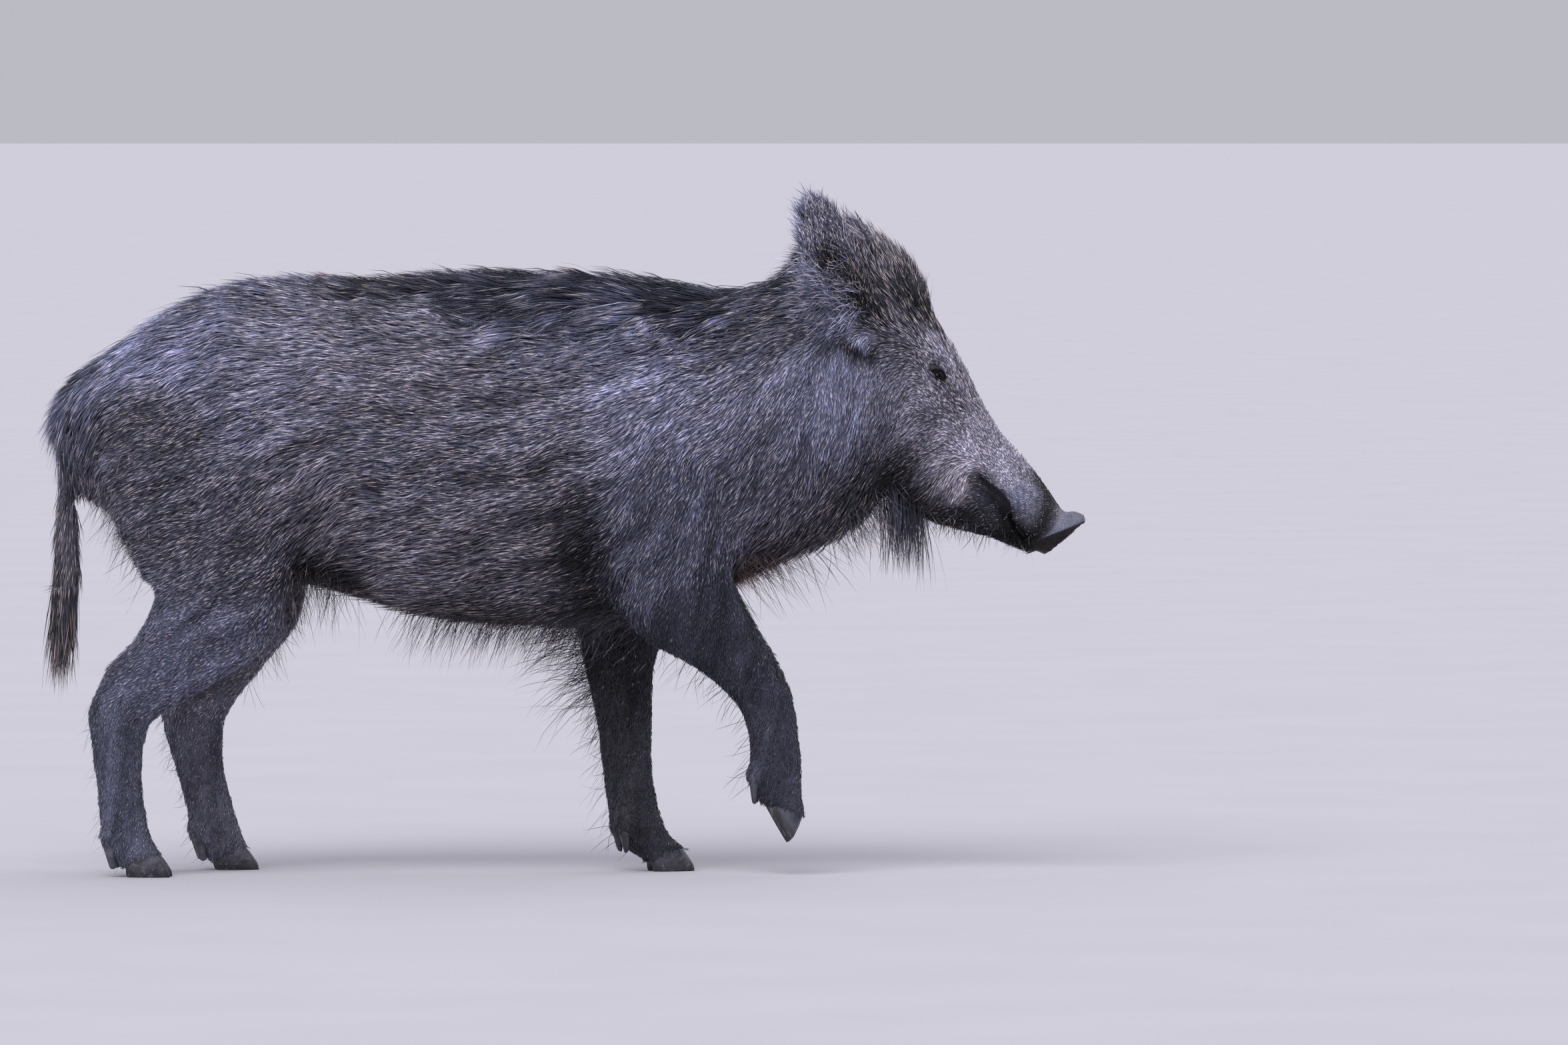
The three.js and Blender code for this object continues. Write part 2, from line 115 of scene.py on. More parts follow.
# Where on the body: along X, aside, height. Lie of the hair: forward, outward, up.
# Then the hair's length and the angle at which it leaves the skin, and its marking: lightness,
# which holds painted light and shade as well as the coat's own tone; share of pale-tipped tufts;
# and how bluish the grey is, which is partly a painted bluish sheen of the sky.
BODY_COAT = {
    "poll": ((350, 0, 815), (-0.95, 0, 0.1), 34, 14, 72, 0.35, 0.9),
    "nape": ((290, 0, 795), (-0.95, 0, -0.05), 56, 26, 62, 0.2, 0.9),
    "withers": ((200, 0, 785), (-1, 0, 0.05), 62, 28, 60, 0.18, 0.9),
    "mane": ((60, 0, 808), (-1, 0, 0.16), 80, 30, 57, 0.17, 1.0),
    "mane_side": ((60, 62, 786), (-0.92, 0.2, -0.42), 84, 24, 61, 0.17, 1.0),
    "mane_side_rear": ((-55, 60, 784), (-0.95, 0.2, -0.32), 76, 24, 65, 0.18, 1.0),
    "mane_side_front": ((160, 56, 768), (-0.92, 0.2, -0.36), 72, 24, 65, 0.18, 1.0),
    "back": ((-80, 0, 805), (-1, 0, 0.06), 66, 28, 62, 0.2, 0.9),
    "loin": ((-240, 0, 795), (-1, 0, 0.02), 56, 28, 68, 0.22, 0.55),
    "croup": ((-430, 0, 785), (-1, 0, -0.04), 42, 22, 103, 0.3, 0.75),
    "rump_top": ((-550, 30, 735), (-0.85, 0.1, -0.5), 40, 18, 131, 0.42, 0.78),
    "tail_root": ((-645, 25, 645), (-0.4, 0.2, -0.9), 44, 18, 96, 0.3, 0.9),
    "buttock": ((-635, 90, 560), (-0.35, 0.1, -0.95), 38, 24, 76, 0.22, 0.7),
    "ham_back": ((-600, 95, 480), (-0.4, 0, -0.9), 34, 26, 68, 0.25, 0.5),
    "rump_side": ((-540, 115, 650), (-0.8, 0, -0.6), 34, 18, 149, 0.42, 0.82),
    "haunch": ((-450, 130, 600), (-0.93, 0, -0.36), 28, 22, 117, 0.48, 0.65),
    "ham": ((-470, 140, 480), (-0.95, 0, -0.25), 24, 25, 90, 0.45, 0.45),
    "loin_side": ((-330, 110, 725), (-1, 0.1, -0.02), 31, 21, 132, 0.52, 0.45),
    "back_side": ((-180, 115, 735), (-1, 0.1, 0.16), 32, 21, 124, 0.52, 0.4),
    "flank_high": ((-190, 140, 650), (-1, 0.05, 0.06), 28, 21, 112, 0.55, 0.4),
    "flank": ((-190, 152, 550), (-1, 0, -0.08), 28, 22, 91, 0.5, 0.55),
    "flank_low": ((-190, 130, 430), (-1, 0, -0.14), 32, 25, 103, 0.5, 0.35),
    "flank_fold": ((-365, 125, 450), (-0.7, 0, -0.7), 32, 27, 97, 0.6, 0.35),
    "rib_side_high": ((-20, 120, 730), (-1, 0.1, -0.06), 31, 21, 112, 0.42, 0.65),
    "ribs_high": ((-20, 140, 650), (-1, 0.05, -0.16), 28, 21, 110, 0.5, 0.5),
    "ribs": ((-20, 152, 550), (-1, 0, -0.18), 28, 22, 91, 0.5, 0.5),
    "ribs_low": ((-40, 125, 420), (-1, 0, -0.12), 30, 24, 94, 0.45, 0.3),
    "behind_elbow": ((35, 135, 440), (-0.95, 0, -0.3), 28, 24, 50, 0.2, 0.3),
    "blade_top": ((120, 105, 730), (-0.9, 0.1, -0.35), 28, 21, 123, 0.4, 0.7),
    "blade": ((120, 135, 640), (-0.85, 0, -0.5), 24, 21, 140, 0.48, 0.65),
    "shoulder": ((130, 140, 550), (-0.8, 0, -0.6), 23, 22, 144, 0.5, 0.7),
    "arm": ((140, 140, 450), (-0.75, 0, -0.66), 21, 22, 110, 0.4, 0.75),
    "chest_side": ((235, 95, 480), (-0.6, 0, -0.8), 22, 22, 89, 0.42, 0.5),
    "chest": ((270, 30, 415), (-0.6, 0.1, -0.8), 34, 32, 62, 0.3, 0.2),
    "neck_rear": ((235, 115, 640), (-0.75, 0, -0.66), 21, 20, 119, 0.48, 0.6),
    "neck_top": ((290, 80, 735), (-0.95, 0.1, -0.2), 24, 22, 91, 0.4, 0.45),
    "neck_side": ((330, 100, 640), (-0.36, 0, -0.93), 16, 18, 123, 0.52, 0.7),
    "neck_front": ((362, 100, 680), (-0.02, 0, -1), 15, 17, 130, 0.55, 0.8),
    "neck_front_low": ((368, 95, 590), (-0.1, 0, -1), 17, 19, 119, 0.5, 0.75),
    "crest_rear": ((345, 0, 845), (-0.85, 0.05, 0.45), 24, 26, 82, 0.4, 0.85),
    "crest_front": ((430, 0, 835), (-0.5, 0.05, 0.86), 34, 40, 72, 0.4, 0.55),
    "crest_brow": ((478, 0, 765), (-0.42, 0, 0.9), 30, 34, 68, 0.35, 0.4),
    "crest_side": ((425, 48, 785), (-0.5, 0.15, 0.85), 30, 32, 70, 0.4, 0.5),
    "neck_low": ((320, 85, 540), (-0.5, 0, -0.86), 20, 22, 93, 0.45, 0.6),
    "throat": ((390, 50, 490), (-0.5, 0.2, -0.85), 28, 30, 58, 0.25, 0.25),
    "brisket": ((170, 0, 365), (-0.9, 0, -0.35), 36, 30, 46, 0.15, 0.15),
    "belly": ((-100, 0, 330), (-0.95, 0, -0.2), 36, 30, 54, 0.25, 0.1),
    "groin": ((-370, 50, 395), (-0.4, 0.2, -0.85), 40, 34, 46, 0.2, 0.1),
}

# The same on the head, in its own frame: along the snout, aside, and above its axis.
HEAD_COAT = {
    "crown": ((-25, 10, 80), (-0.98, 0.05, 0.25), 60, 55, 62, 0.3, 0.6),
    "crown_side": ((-20, 60, 60), (-0.9, 0.2, 0.2), 34, 40, 62, 0.35, 0.4),
    "forehead": ((45, 0, 92), (-1, 0, 0.2), 26, 34, 72, 0.4, 0.35),
    "brow": ((82, 52, 62), (-1, 0.05, 0.1), 11, 26, 112, 0.5, 0.4),
    "stop": ((120, 0, 76), (-1, 0, 0.05), 13, 26, 76, 0.35, 0.35),
    "bridge": ((180, 0, 66), (-1, 0, 0.05), 10, 24, 108, 0.6, 0.4),
    "snout_top": ((240, 0, 62), (-1, 0, 0.05), 7, 24, 134, 0.65, 0.3),
    "snout_end": ((322, 0, 57), (-1, 0, 0.05), 4, 24, 122, 0.5, 0.3),
    "snout_side": ((255, 42, 28), (-1, 0.05, 0.1), 7, 22, 142, 0.7, 0.35),
    "snout_end_side": ((322, 36, 25), (-1, 0.05, 0), 4, 24, 132, 0.6, 0.4),
    "muzzle": ((190, 52, 25), (-1, 0.05, 0.05), 9, 24, 138, 0.7, 0.35),
    "below_eye": ((115, 62, 18), (-0.95, 0.05, -0.1), 11, 24, 120, 0.65, 0.4),
    "temple": ((40, 85, 30), (-0.53, 0.1, -0.79), 14, 24, 88, 0.4, 0.4),
    "ear_base": ((0, 75, 50), (-0.93, 0.2, 0.13), 20, 28, 72, 0.3, 0.4),
    "cheek_high": ((70, 84, 0), (0.2, 0, -0.95), 13, 23, 118, 0.6, 0.5),
    "cheek": ((60, 88, -35), (0.58, 0, -0.81), 14, 23, 112, 0.6, 0.55),
    "cheek_front": ((140, 65, -20), (-0.1, 0.05, -0.99), 13, 25, 120, 0.68, 0.4),
    "jaw_side": ((145, 58, -62), (0.09, 0, -1), 16, 27, 70, 0.4, 0.5),
    "whiskers": ((212, 45, -22), (0.43, 0.2, -0.88), 22, 32, 188, 0.95, 0.1),
    "jaw_angle": ((90, 60, -95), (-0.3, 0.1, -0.9), 22, 30, 50, 0.25, 0.2),
    "jaw_under": ((200, 15, -92), (-0.6, 0.1, -0.6), 20, 32, 42, 0.08, 0.2),
    "jaw_front": ((265, 28, -45), (-0.3, 0.1, -0.9), 12, 28, 62, 0.2, 0.5),
    "chin": ((318, 14, -25), (-0.4, 0.1, -0.9), 12, 34, 40, 0.08, 0.25),
    "lip": ((285, 40, 14), (-0.9, 0.05, -0.3), 5, 22, 116, 0.45, 0.8),
}

# The rest of the coat by node: lie beside the run of the bone (forward, outward, up) and how
# much of it, length, angle, then the marking on the outside and on the inside of the limb. As
# above, its lightness holds painted light and shade, and its bluish tint is partly a painted sheen.
LIMB_COAT = {
    "thigh": ((-1, 0, -0.1), 0.75, 21, 25, (88, 0.45, 0.5), (80, 0.25, 0.2)),
    "shank": ((-1, 0, 0.1), 0.6, 12, 22, (102, 0.34, 0.75), (104, 0.3, 0.3)),
    "upper_arm": ((-1, 0, -0.1), 0.35, 18, 23, (94, 0.32, 0.7), (50, 0.08, 0.2)),
    "forearm": ((-1, 0, 0), 0.3, 11, 21, (63, 0.012, 0.7), (49, 0.01, 0.3)),
    "foot": ((-1, 0, 0), 0.2, 8, 19, (66, 0.01, 0.7), (53, 0.01, 0.4)),
    "hind_foot": ((-1, 0, 0), 0.2, 8, 20, (88, 0.14, 0.75), (94, 0.12, 0.4)),
    "tail": ((-0.2, 0, 0), 0.1, 34, 20, (90, 0.4, 0.25), (74, 0.3, 0.1)),
    "ear": ((-0.1, 0, 0.3), 0.3, 14, 24, (108, 0.45, 0.75), (100, 0.5, 0.6)),
}

# ------------------------------------------------------------------ arrays and meshes


def unit(vectors):
    """Vectors of length one."""
    length = np.linalg.norm(vectors, axis=-1, keepdims=True)
    return vectors / np.maximum(length, 1e-9)


def smooth_step(values, low, high):
    """0 below low, 1 above high and a soft ramp between them."""
    t = np.clip((values - low) / (high - low), 0, 1)
    return t * t * (3 - 2 * t)


def plateau(values, low, full, waning, high):
    """1 between full and waning, with a soft ramp down to low and to high."""
    return smooth_step(values, low, full) * (1 - smooth_step(values, waning, high))


def bump(distance, reach):
    """1 at distance 0, falling softly to 0 about twice the reach away."""
    return np.exp(-((distance / reach) ** 2))


def mixed(a, b, amount):
    """a where amount is 0 and b where it is 1."""
    return a + (b - a) * amount


WAVES = 9               # how many sine waves make up a smooth random value
WAVE_LENGTHS = (0.6, 1.5)       # how much shorter and longer than the asked size they run


def waves(points, size, seed, dims=1):
    """A smooth random value from about -1 to 1 at each point, with features of the given size (mm)."""
    rng = np.random.default_rng(seed)
    total = np.zeros((len(points), dims))
    for _ in range(WAVES):
        run = unit(rng.normal(size=3)) * rng.uniform(*WAVE_LENGTHS) * 2 * math.pi / (size * MM)
        phase = rng.uniform(0, 2 * math.pi, dims)
        total += np.sin((points @ run)[:, None] + phase)
    total /= math.sqrt(WAVES)
    return total[:, 0] if dims == 1 else total


def read(collection, field, width, kind=np.float32):
    """One field of a mesh's vertices, edges, triangles or loops as an array."""
    values = np.empty(len(collection) * width, kind)
    collection.foreach_get(field, values)
    return values.reshape(-1, width) if width > 1 else values


def node_arrays(name):
    """The vertices, their normals and the triangles of a node."""
    mesh = NODES[name].data
    mesh.calc_loop_triangles()
    points = read(mesh.vertices, "co", 3).astype(float)
    normals = read(mesh.vertices, "normal", 3).astype(float)
    triangles = read(mesh.loop_triangles, "vertices", 3, np.int32)
    return points, normals, triangles


def new_object(name, data):
    """An object in the scene that shows some data."""
    thing = bpy.data.objects.new(name, data)
    bpy.context.collection.objects.link(thing)
    return thing


def reshape(mesh, points):
    """Moves a mesh's vertices to new places and shades it smooth."""
    mesh.vertices.foreach_set("co", points.astype(np.float32).ravel())
    mesh.polygons.foreach_set("use_smooth", np.ones(len(mesh.polygons), bool))
    mesh.update()


def build_mesh(name, points, faces):
    """A mesh object from arrays; all its faces have the same number of corners."""
    mesh = bpy.data.meshes.new(name)
    corners = faces.shape[1]
    mesh.vertices.add(len(points))
    mesh.vertices.foreach_set("co", np.asarray(points, np.float32).ravel())
    mesh.loops.add(faces.size)
    mesh.loops.foreach_set("vertex_index", np.asarray(faces, np.int32).ravel())
    mesh.polygons.add(len(faces))
    mesh.polygons.foreach_set("loop_start", np.arange(0, faces.size, corners, dtype=np.int32))
    mesh.update(calc_edges=True)
    mesh.polygons.foreach_set("use_smooth", np.ones(len(faces), bool))
    return new_object(name, mesh)


def add_field(mesh, name, values):
    """Stores a number or a vector for each vertex, for the materials to read."""
    kind = "FLOAT" if values.ndim == 1 else "FLOAT_VECTOR"
    layer = mesh.attributes.new(name, kind, "POINT")
    field = "value" if values.ndim == 1 else "vector"
    layer.data.foreach_set(field, np.asarray(values, np.float32).ravel())


def face_normals(points, triangles):
    """The normals of triangles, each twice as long as its triangle's area."""
    a, b, c = (points[triangles[:, k]] for k in range(3))
    return np.cross(b - a, c - a)


def corner_normals(points, triangles):
    """The normals of the vertices of a triangle mesh."""
    face = face_normals(points, triangles)
    total = np.zeros_like(points)
    for corner in range(3):
        for axis in range(3):
            total[:, axis] += np.bincount(triangles[:, corner], face[:, axis], len(points))
    return unit(total)


def soften(values, edges, rounds, strength=1.0):
    """Moves each vertex's value towards its neighbours' mean, for each vertex's own rounds."""
    flat = values.reshape(len(values), -1).astype(float)
    count = len(flat)
    a, b = edges.T
    total = np.maximum(np.bincount(edges.ravel(), minlength=count), 1e-9)
    steps = np.broadcast_to(rounds, (count,))
    for step in range(int(np.max(rounds))):
        active = np.clip(steps - step, 0, 1) * strength
        for column in range(flat.shape[1]):
            value = flat[:, column]
            mean = np.bincount(a, value[b], count) + np.bincount(b, value[a], count)
            flat[:, column] = value + active * (mean / total - value)
    return flat.reshape(values.shape)


def flat_face(name):
    """Centre and outward direction of a node's largest flat face."""
    points, _, triangles = node_arrays(name)
    cross = face_normals(points, triangles)
    area = np.linalg.norm(cross, axis=1)
    key = np.round(cross / np.maximum(area, 1e-12)[:, None], 1)
    ways, group = np.unique(key, axis=0, return_inverse=True)
    group = group.ravel()
    best = np.bincount(group, area, len(ways)).argmax()
    mine = group == best
    share = area[mine, None] / area[mine].sum()
    a, b, c = (points[triangles[mine, k]] for k in range(3))
    centre = (((a + b + c) / 3) * share).sum(axis=0)
    return centre, unit(cross[mine].sum(axis=0))


def centre_of(name):
    """The middle of a node's box."""
    low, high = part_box(name)
    return np.array((low + high) / 2)


# ------------------------------------------------------------------ the head's own frame

DISC_CENTRE, SNOUT_WAY = flat_face("nose_disc")
SNOUT_WAY[1] = 0
SNOUT_WAY = unit(SNOUT_WAY)
FOREHEAD_WAY = np.array((-SNOUT_WAY[2], 0, SNOUT_WAY[0]))
DISC_AT = (364, 0, 35.5)        # the disc's face in the head's own frame


def on_head(along, aside, above):
    """A place of the head's frame, in metres."""
    forward = (along - DISC_AT[0]) * MM
    upward = (above - DISC_AT[2]) * MM
    place = np.array((DISC_CENTRE[0], 0, DISC_CENTRE[2]))
    place = place + SNOUT_WAY * forward + FOREHEAD_WAY * upward
    place[1] = aside * MM
    return place


def head_way(along, aside, above):
    """A direction of the head's frame."""
    way = SNOUT_WAY * along + FOREHEAD_WAY * above
    way[1] = aside
    return unit(way)


def in_head(points):
    """Each point in the head's frame: along, aside and above, in millimetres."""
    away = points - on_head(0, 0, 0)
    along = away @ SNOUT_WAY
    above = away @ FOREHEAD_WAY
    return np.stack([along, np.abs(points[:, 1]), above], axis=1) / MM


# ------------------------------------------------------------------ the skin's mesh


def hull_of(points):
    """The triangles of the convex hull of some points, and its vertices."""
    hull = bmesh.new()
    for point in points:
        hull.verts.new(point)
    bmesh.ops.convex_hull(hull, input=hull.verts)
    loose = [v for v in hull.verts if not v.link_faces]
    bmesh.ops.delete(hull, geom=loose, context="VERTS")
    bmesh.ops.triangulate(hull, faces=hull.faces)
    hull.verts.index_update()
    corners = np.array([v.co for v in hull.verts])
    triangles = np.array([[v.index for v in face.verts] for face in hull.faces])
    hull.free()
    return corners, triangles


def claw_stump(name):
    """A cone of flesh that carries a dewclaw: the claw's upper part joined to the foot before it."""
    points = node_arrays(name)[0]
    foot = centre_of(name.split("_dewclaw")[0] + "_foot")
    height = points[:, 2] - points[:, 2].min()
    upper = points[height > STUMP["upper"] * height.max()]
    lower = points[height < STUMP["lower"] * height.max()]
    middle = mixed(upper[:, None, :], lower[None, :, :], STUMP["share"]).reshape(-1, 3)
    stump = np.concatenate([upper, middle])
    centre = stump.mean(axis=0)
    stump = centre + (stump - centre) * STUMP["swell"]
    inward = foot - centre
    inward[2] = 0
    root = stump[stump[:, 2] > centre[2]]
    return hull_of(np.concatenate([stump, root + unit(inward) * STUMP["reach"] * MM]))


def joined_flesh(names, overlap):
    """All the named nodes in one soup of triangles, and the node that each triangle is from."""
    all_points, all_triangles, owners = [], [], []
    start = 0
    for number, name in enumerate(names):
        points, normals, triangles = node_arrays(name)
        if name == "nose_disc" or name in DEWCLAWS:
            points, triangles = hull_of(points) if name == "nose_disc" else claw_stump(name)
            normals = unit(points - points.mean(axis=0))
        swell = overlap
        if overlap and name.endswith(("shank", "forearm", "foot", "tail")):
            swell = LIMB_SWELL
        if overlap and name in HOOVES:
            swell = HOOF_SWELL
        all_points.append(points + normals * swell * MM)
        all_triangles.append(triangles + start)
        owners.append(np.full(len(triangles), number))
        start += len(points)
    return np.concatenate(all_points), np.concatenate(all_triangles), np.concatenate(owners)


def remeshed(points, triangles, grid):
    """One closed mesh of even squares round a soup of closed bodies."""
    rough = build_mesh("rough", points, triangles)
    remesh = rough.modifiers.new("Remesh", "REMESH")
    remesh.mode = "VOXEL"
    remesh.voxel_size = grid * MM
    shown = rough.evaluated_get(bpy.context.evaluated_depsgraph_get())
    mesh = bpy.data.meshes.new_from_object(shown)
    bpy.data.objects.remove(rough)
    return mesh


def keep_one_island(bm):
    """Leaves only the surface that the first outermost vertex belongs to."""
    start = min(bm.verts, key=lambda v: v.co.x)
    seen = {start}
    front = [start]
    while front:
        vert = front.pop()
        for edge in vert.link_edges:
            other = edge.other_vert(vert)
            if other not in seen:
                seen.add(other)
                front.append(other)
    stray = [v for v in bm.verts if v not in seen]
    bmesh.ops.delete(bm, geom=stray, context="VERTS")


def on_foot(face, centre, down, ahead):
    """Whether a face is near a foot's soles, below its dewclaws and not far behind its middle."""
    place = np.array(face.calc_center_median()) - centre
    near = np.linalg.norm(place) < FOOT_CUT["away"] * MM
    low = place @ -down < FOOT_CUT["above"] * MM
    return near and low and place @ ahead > -FOOT_CUT["behind"] * MM


def cut_feet(bm):
    """Cuts the skin off along the coronet, and closes each cut."""
    for leg in LEGS:
        centre, down, ahead = foot_sole(leg)
        slope = CORONET["slope"] + CORONET["flexed"] * (1 + down[2])
        near = [face for face in bm.faces if on_foot(face, centre, down, ahead)]
        # Each once and in the mesh's own order, so that the cut comes out the same each time.
        edges = dict.fromkeys(edge for face in near for edge in face.edges)
        verts = dict.fromkeys(vert for face in near for vert in face.verts)
        cut = bmesh.ops.bisect_plane(
            bm,
            geom=[*verts, *edges, *near],
            plane_co=Vector(centre - down * CORONET["height"] * MM),
            plane_no=Vector(unit(down + ahead * slope)),
            clear_outer=True,
        )
        rim = [part for part in cut["geom_cut"] if isinstance(part, bmesh.types.BMEdge)]
        bmesh.ops.holes_fill(bm, edges=rim, sides=0)


def foot_sole(leg):
    """The middle of a foot's two soles, the way that they face and the way that its toes point."""
    hooves = [f"{leg}_hoof_{half}" for half in ("outer", "inner")]
    faces = [flat_face(name) for name in hooves]
    centre = (faces[0][0] + faces[1][0]) / 2
    down = unit(faces[0][1] + faces[1][1])
    ahead = centre - np.concatenate([node_arrays(name)[0] for name in hooves]).mean(axis=0)
    return centre, down, unit(ahead - down * (ahead @ down))


def refine(bm, centre, reach):
    """Divides the faces near a place once."""
    middle = Vector(centre)
    edges = [e for e in bm.edges if (e.verts[0].co - middle).length < reach * MM]
    bmesh.ops.subdivide_edges(bm, edges=edges, cuts=1, use_grid_fill=True)


def skin_mesh():
    """The closed mesh that the skin is shaped from."""
    points, triangles, _ = joined_flesh(FLESH + [CREST] + EYES + HOOVES + DEWCLAWS, OVERLAP)
    mesh = remeshed(points, triangles, SKIN_GRID)
    bm = bmesh.new()
    bm.from_mesh(mesh)
    keep_one_island(bm)
    cut_feet(bm)
    for at, reach in FINE_FACE:
        refine(bm, on_head(*at), reach)
    for name in EYES:
        for reach in FINE_EYE:
            refine(bm, centre_of(name), reach)
    bmesh.ops.triangulate(bm, faces=[f for f in bm.faces if len(f.verts) > 4])
    bm.to_mesh(mesh)
    bm.free()
    return mesh


class Skin:
    """The skin's arrays, and the fields that the coat and the markings are worked out from."""

    def __init__(self, mesh):
        self.mesh = mesh
        self.points = read(mesh.vertices, "co", 3).astype(float)
        self.edges = read(mesh.edges, "vertices", 2, np.int32)
        mesh.calc_loop_triangles()
        self.triangles = read(mesh.loop_triangles, "vertices", 3, np.int32)
        self.corners = read(mesh.loop_triangles, "loops", 3, np.int32)
        self.refresh()

    def refresh(self):
        """Works the normals out again."""
        self.normals = corner_normals(self.points, self.triangles)

    def move(self, amount):
        """Moves each vertex along its normal by so many millimetres."""
        self.points = self.points + self.normals * (amount * MM)[:, None]
        self.refresh()

    def spread(self, values, rounds):
        """Blurs values over the skin."""
        return soften(values, self.edges, rounds)


def find_regions(skin):
    """The name of the flesh node nearest to each vertex, as a number in FLESH."""
    points, triangles, owners = joined_flesh(FLESH + [CREST], 0)
    tree = BVHTree.FromPolygons(points.tolist(), triangles.tolist())
    nearest = [tree.find_nearest(p)[2] for p in skin.points.tolist()]
    owners = np.where(owners == len(FLESH), FLESH.index("head"), owners)
    return owners[np.array(nearest)]


def region_kind(name):
    """thigh for hindleg_right_thigh, ear for ear_left, and so on."""
    if name in EARS:
        return "ear"
    if name in LEG_NODES:
        return name.split("_", 2)[2]
    return name


def coat_kind(name):
    """The same, but a hind foot apart from a fore one."""
    return "hind_foot" if name.startswith("hind") and name.endswith("foot") else region_kind(name)


skin = Skin(skin_mesh())
region = find_regions(skin)


def in_nodes(*names):
    """1 for the vertices that belong to one of these nodes."""
    return np.isin(region, [FLESH.index(name) for name in names]).astype(float)


def smooth_skin():
    """Rounds off the facets, most on the trunk and least on ears and nose."""
    table = np.array([SMOOTHING[region_kind(name)] for name in FLESH], float)
    rounds = skin.spread(table[region], 8)
    skin.points = soften(skin.points, skin.edges, rounds, 0.7)
    skin.refresh()


smooth_skin()

# ------------------------------------------------------------------ fields of the coat

HEAD_REACH = 0.55       # how far a place on the head counts, beside one on the body
CORE = 18               # within this distance of a place its own values hold, mm
MIDLINE = 15            # within this distance of the middle the lies turn to run straight back, mm
BLENDED = {"body": 26.0, "face": 2.0}       # rounds of smoothing that blend the coat's values
OUTER_SIDE = (-0.5, 0.15)       # how a limb's skin faces, from its inside to its outside
EAR_INSIDE = (0.1, 0.7)         # the same from the back of an ear to its hollow
COVER = 0.9             # how much of a lying tuft's height counts as the coat's depth
BEND = 0.4              # the part of a tuft's length at which it bends down
LAID = 0.35             # how much of its angle is left beyond the bend


def coat_rows():
    """The places, lies and values of both coat tables, in the world's frame."""
    places, lies, values, reach = [], [], [], []
    for at, lie, *numbers in BODY_COAT.values():
        places.append(np.array(at) * MM)
        lies.append(unit(np.array(lie, float)))
        values.append(numbers)
        reach.append(1.0)
    for at, lie, *numbers in HEAD_COAT.values():
        places.append(on_head(*at))
        lies.append(head_way(*lie))
        values.append(numbers)
        reach.append(HEAD_REACH)
    return np.array(places), np.array(lies), np.array(values, float), np.array(reach)


def from_places(points):
    """Lie and coat values at any points, blended from the named places."""
    places, lies, values, reach = coat_rows()
    mirrored = points * (1, 0, 1) + np.abs(points) * (0, 1, 0)
    square = ((mirrored[:, None, :] - places[None]) ** 2).sum(axis=2)
    weight = (reach**2 / (square + (CORE * MM) ** 2)) ** 2
    weight /= weight.sum(axis=1, keepdims=True)
    lie = weight @ lies
    lie[:, 1] *= np.tanh(points[:, 1] / (MIDLINE * MM))
    return lie, weight @ values


def run_of(name):
    """The way from a limb node's upper end to its lower end, or from an ear's root to its tip."""
    points = node_arrays(name)[0]
    low, high = np.percentile(points[:, 2], (12, 88))
    bottom = points[points[:, 2] <= low].mean(axis=0)
    top = points[points[:, 2] >= high].mean(axis=0)
    return unit(top - bottom) if name in EARS else unit(bottom - top)


def side_of(name):
    """-1 on the right side and 1 on the left."""
    return -1.0 if "right" in name else 1.0


def coat_fields():
    """Lie, length, angle, lightness, pale tips and bluish tint for every vertex of the skin; the
    lightness holds painted light and shade and the tint a painted sheen.
    """
    lie, values = from_places(skin.points)
    for number, name in enumerate(FLESH):
        row = LIMB_COAT.get(coat_kind(name))
        if row is None:
            continue
        beside, share, length, angle, outside, inside = row
        mine = region == number
        beside = np.array(beside, float) * (1, side_of(name), 1)
        lie[mine] = unit(run_of(name) * (1 - share) + beside * share)
        outward = skin.normals[mine, 1] * side_of(name)
        facing = smooth_step(outward, *OUTER_SIDE)[:, None]
        if name in EARS:
            facing = 1 - smooth_step(outward, *EAR_INSIDE)[:, None]
        if name == "tail":
            facing = np.ones_like(facing)
        values[mine, 0] = length
        values[mine, 1] = angle
        values[mine, 2:] = mixed(np.array(inside, float), np.array(outside, float), facing)
    rounds = mixed(BLENDED["body"], BLENDED["face"], in_nodes(*HEAD, *EARS))
    rounds = skin.spread(rounds, 6)
    both = soften(np.hstack([lie, values]), skin.edges, rounds)
    return both[:, :3], both[:, 3:]


def coat_depth(length, angle):
    """How far a lying tuft's tip stands from the skin."""
    lift = np.radians(angle)
    return COVER * length * (BEND * np.sin(lift) + (1 - BEND) * np.sin(lift * LAID))


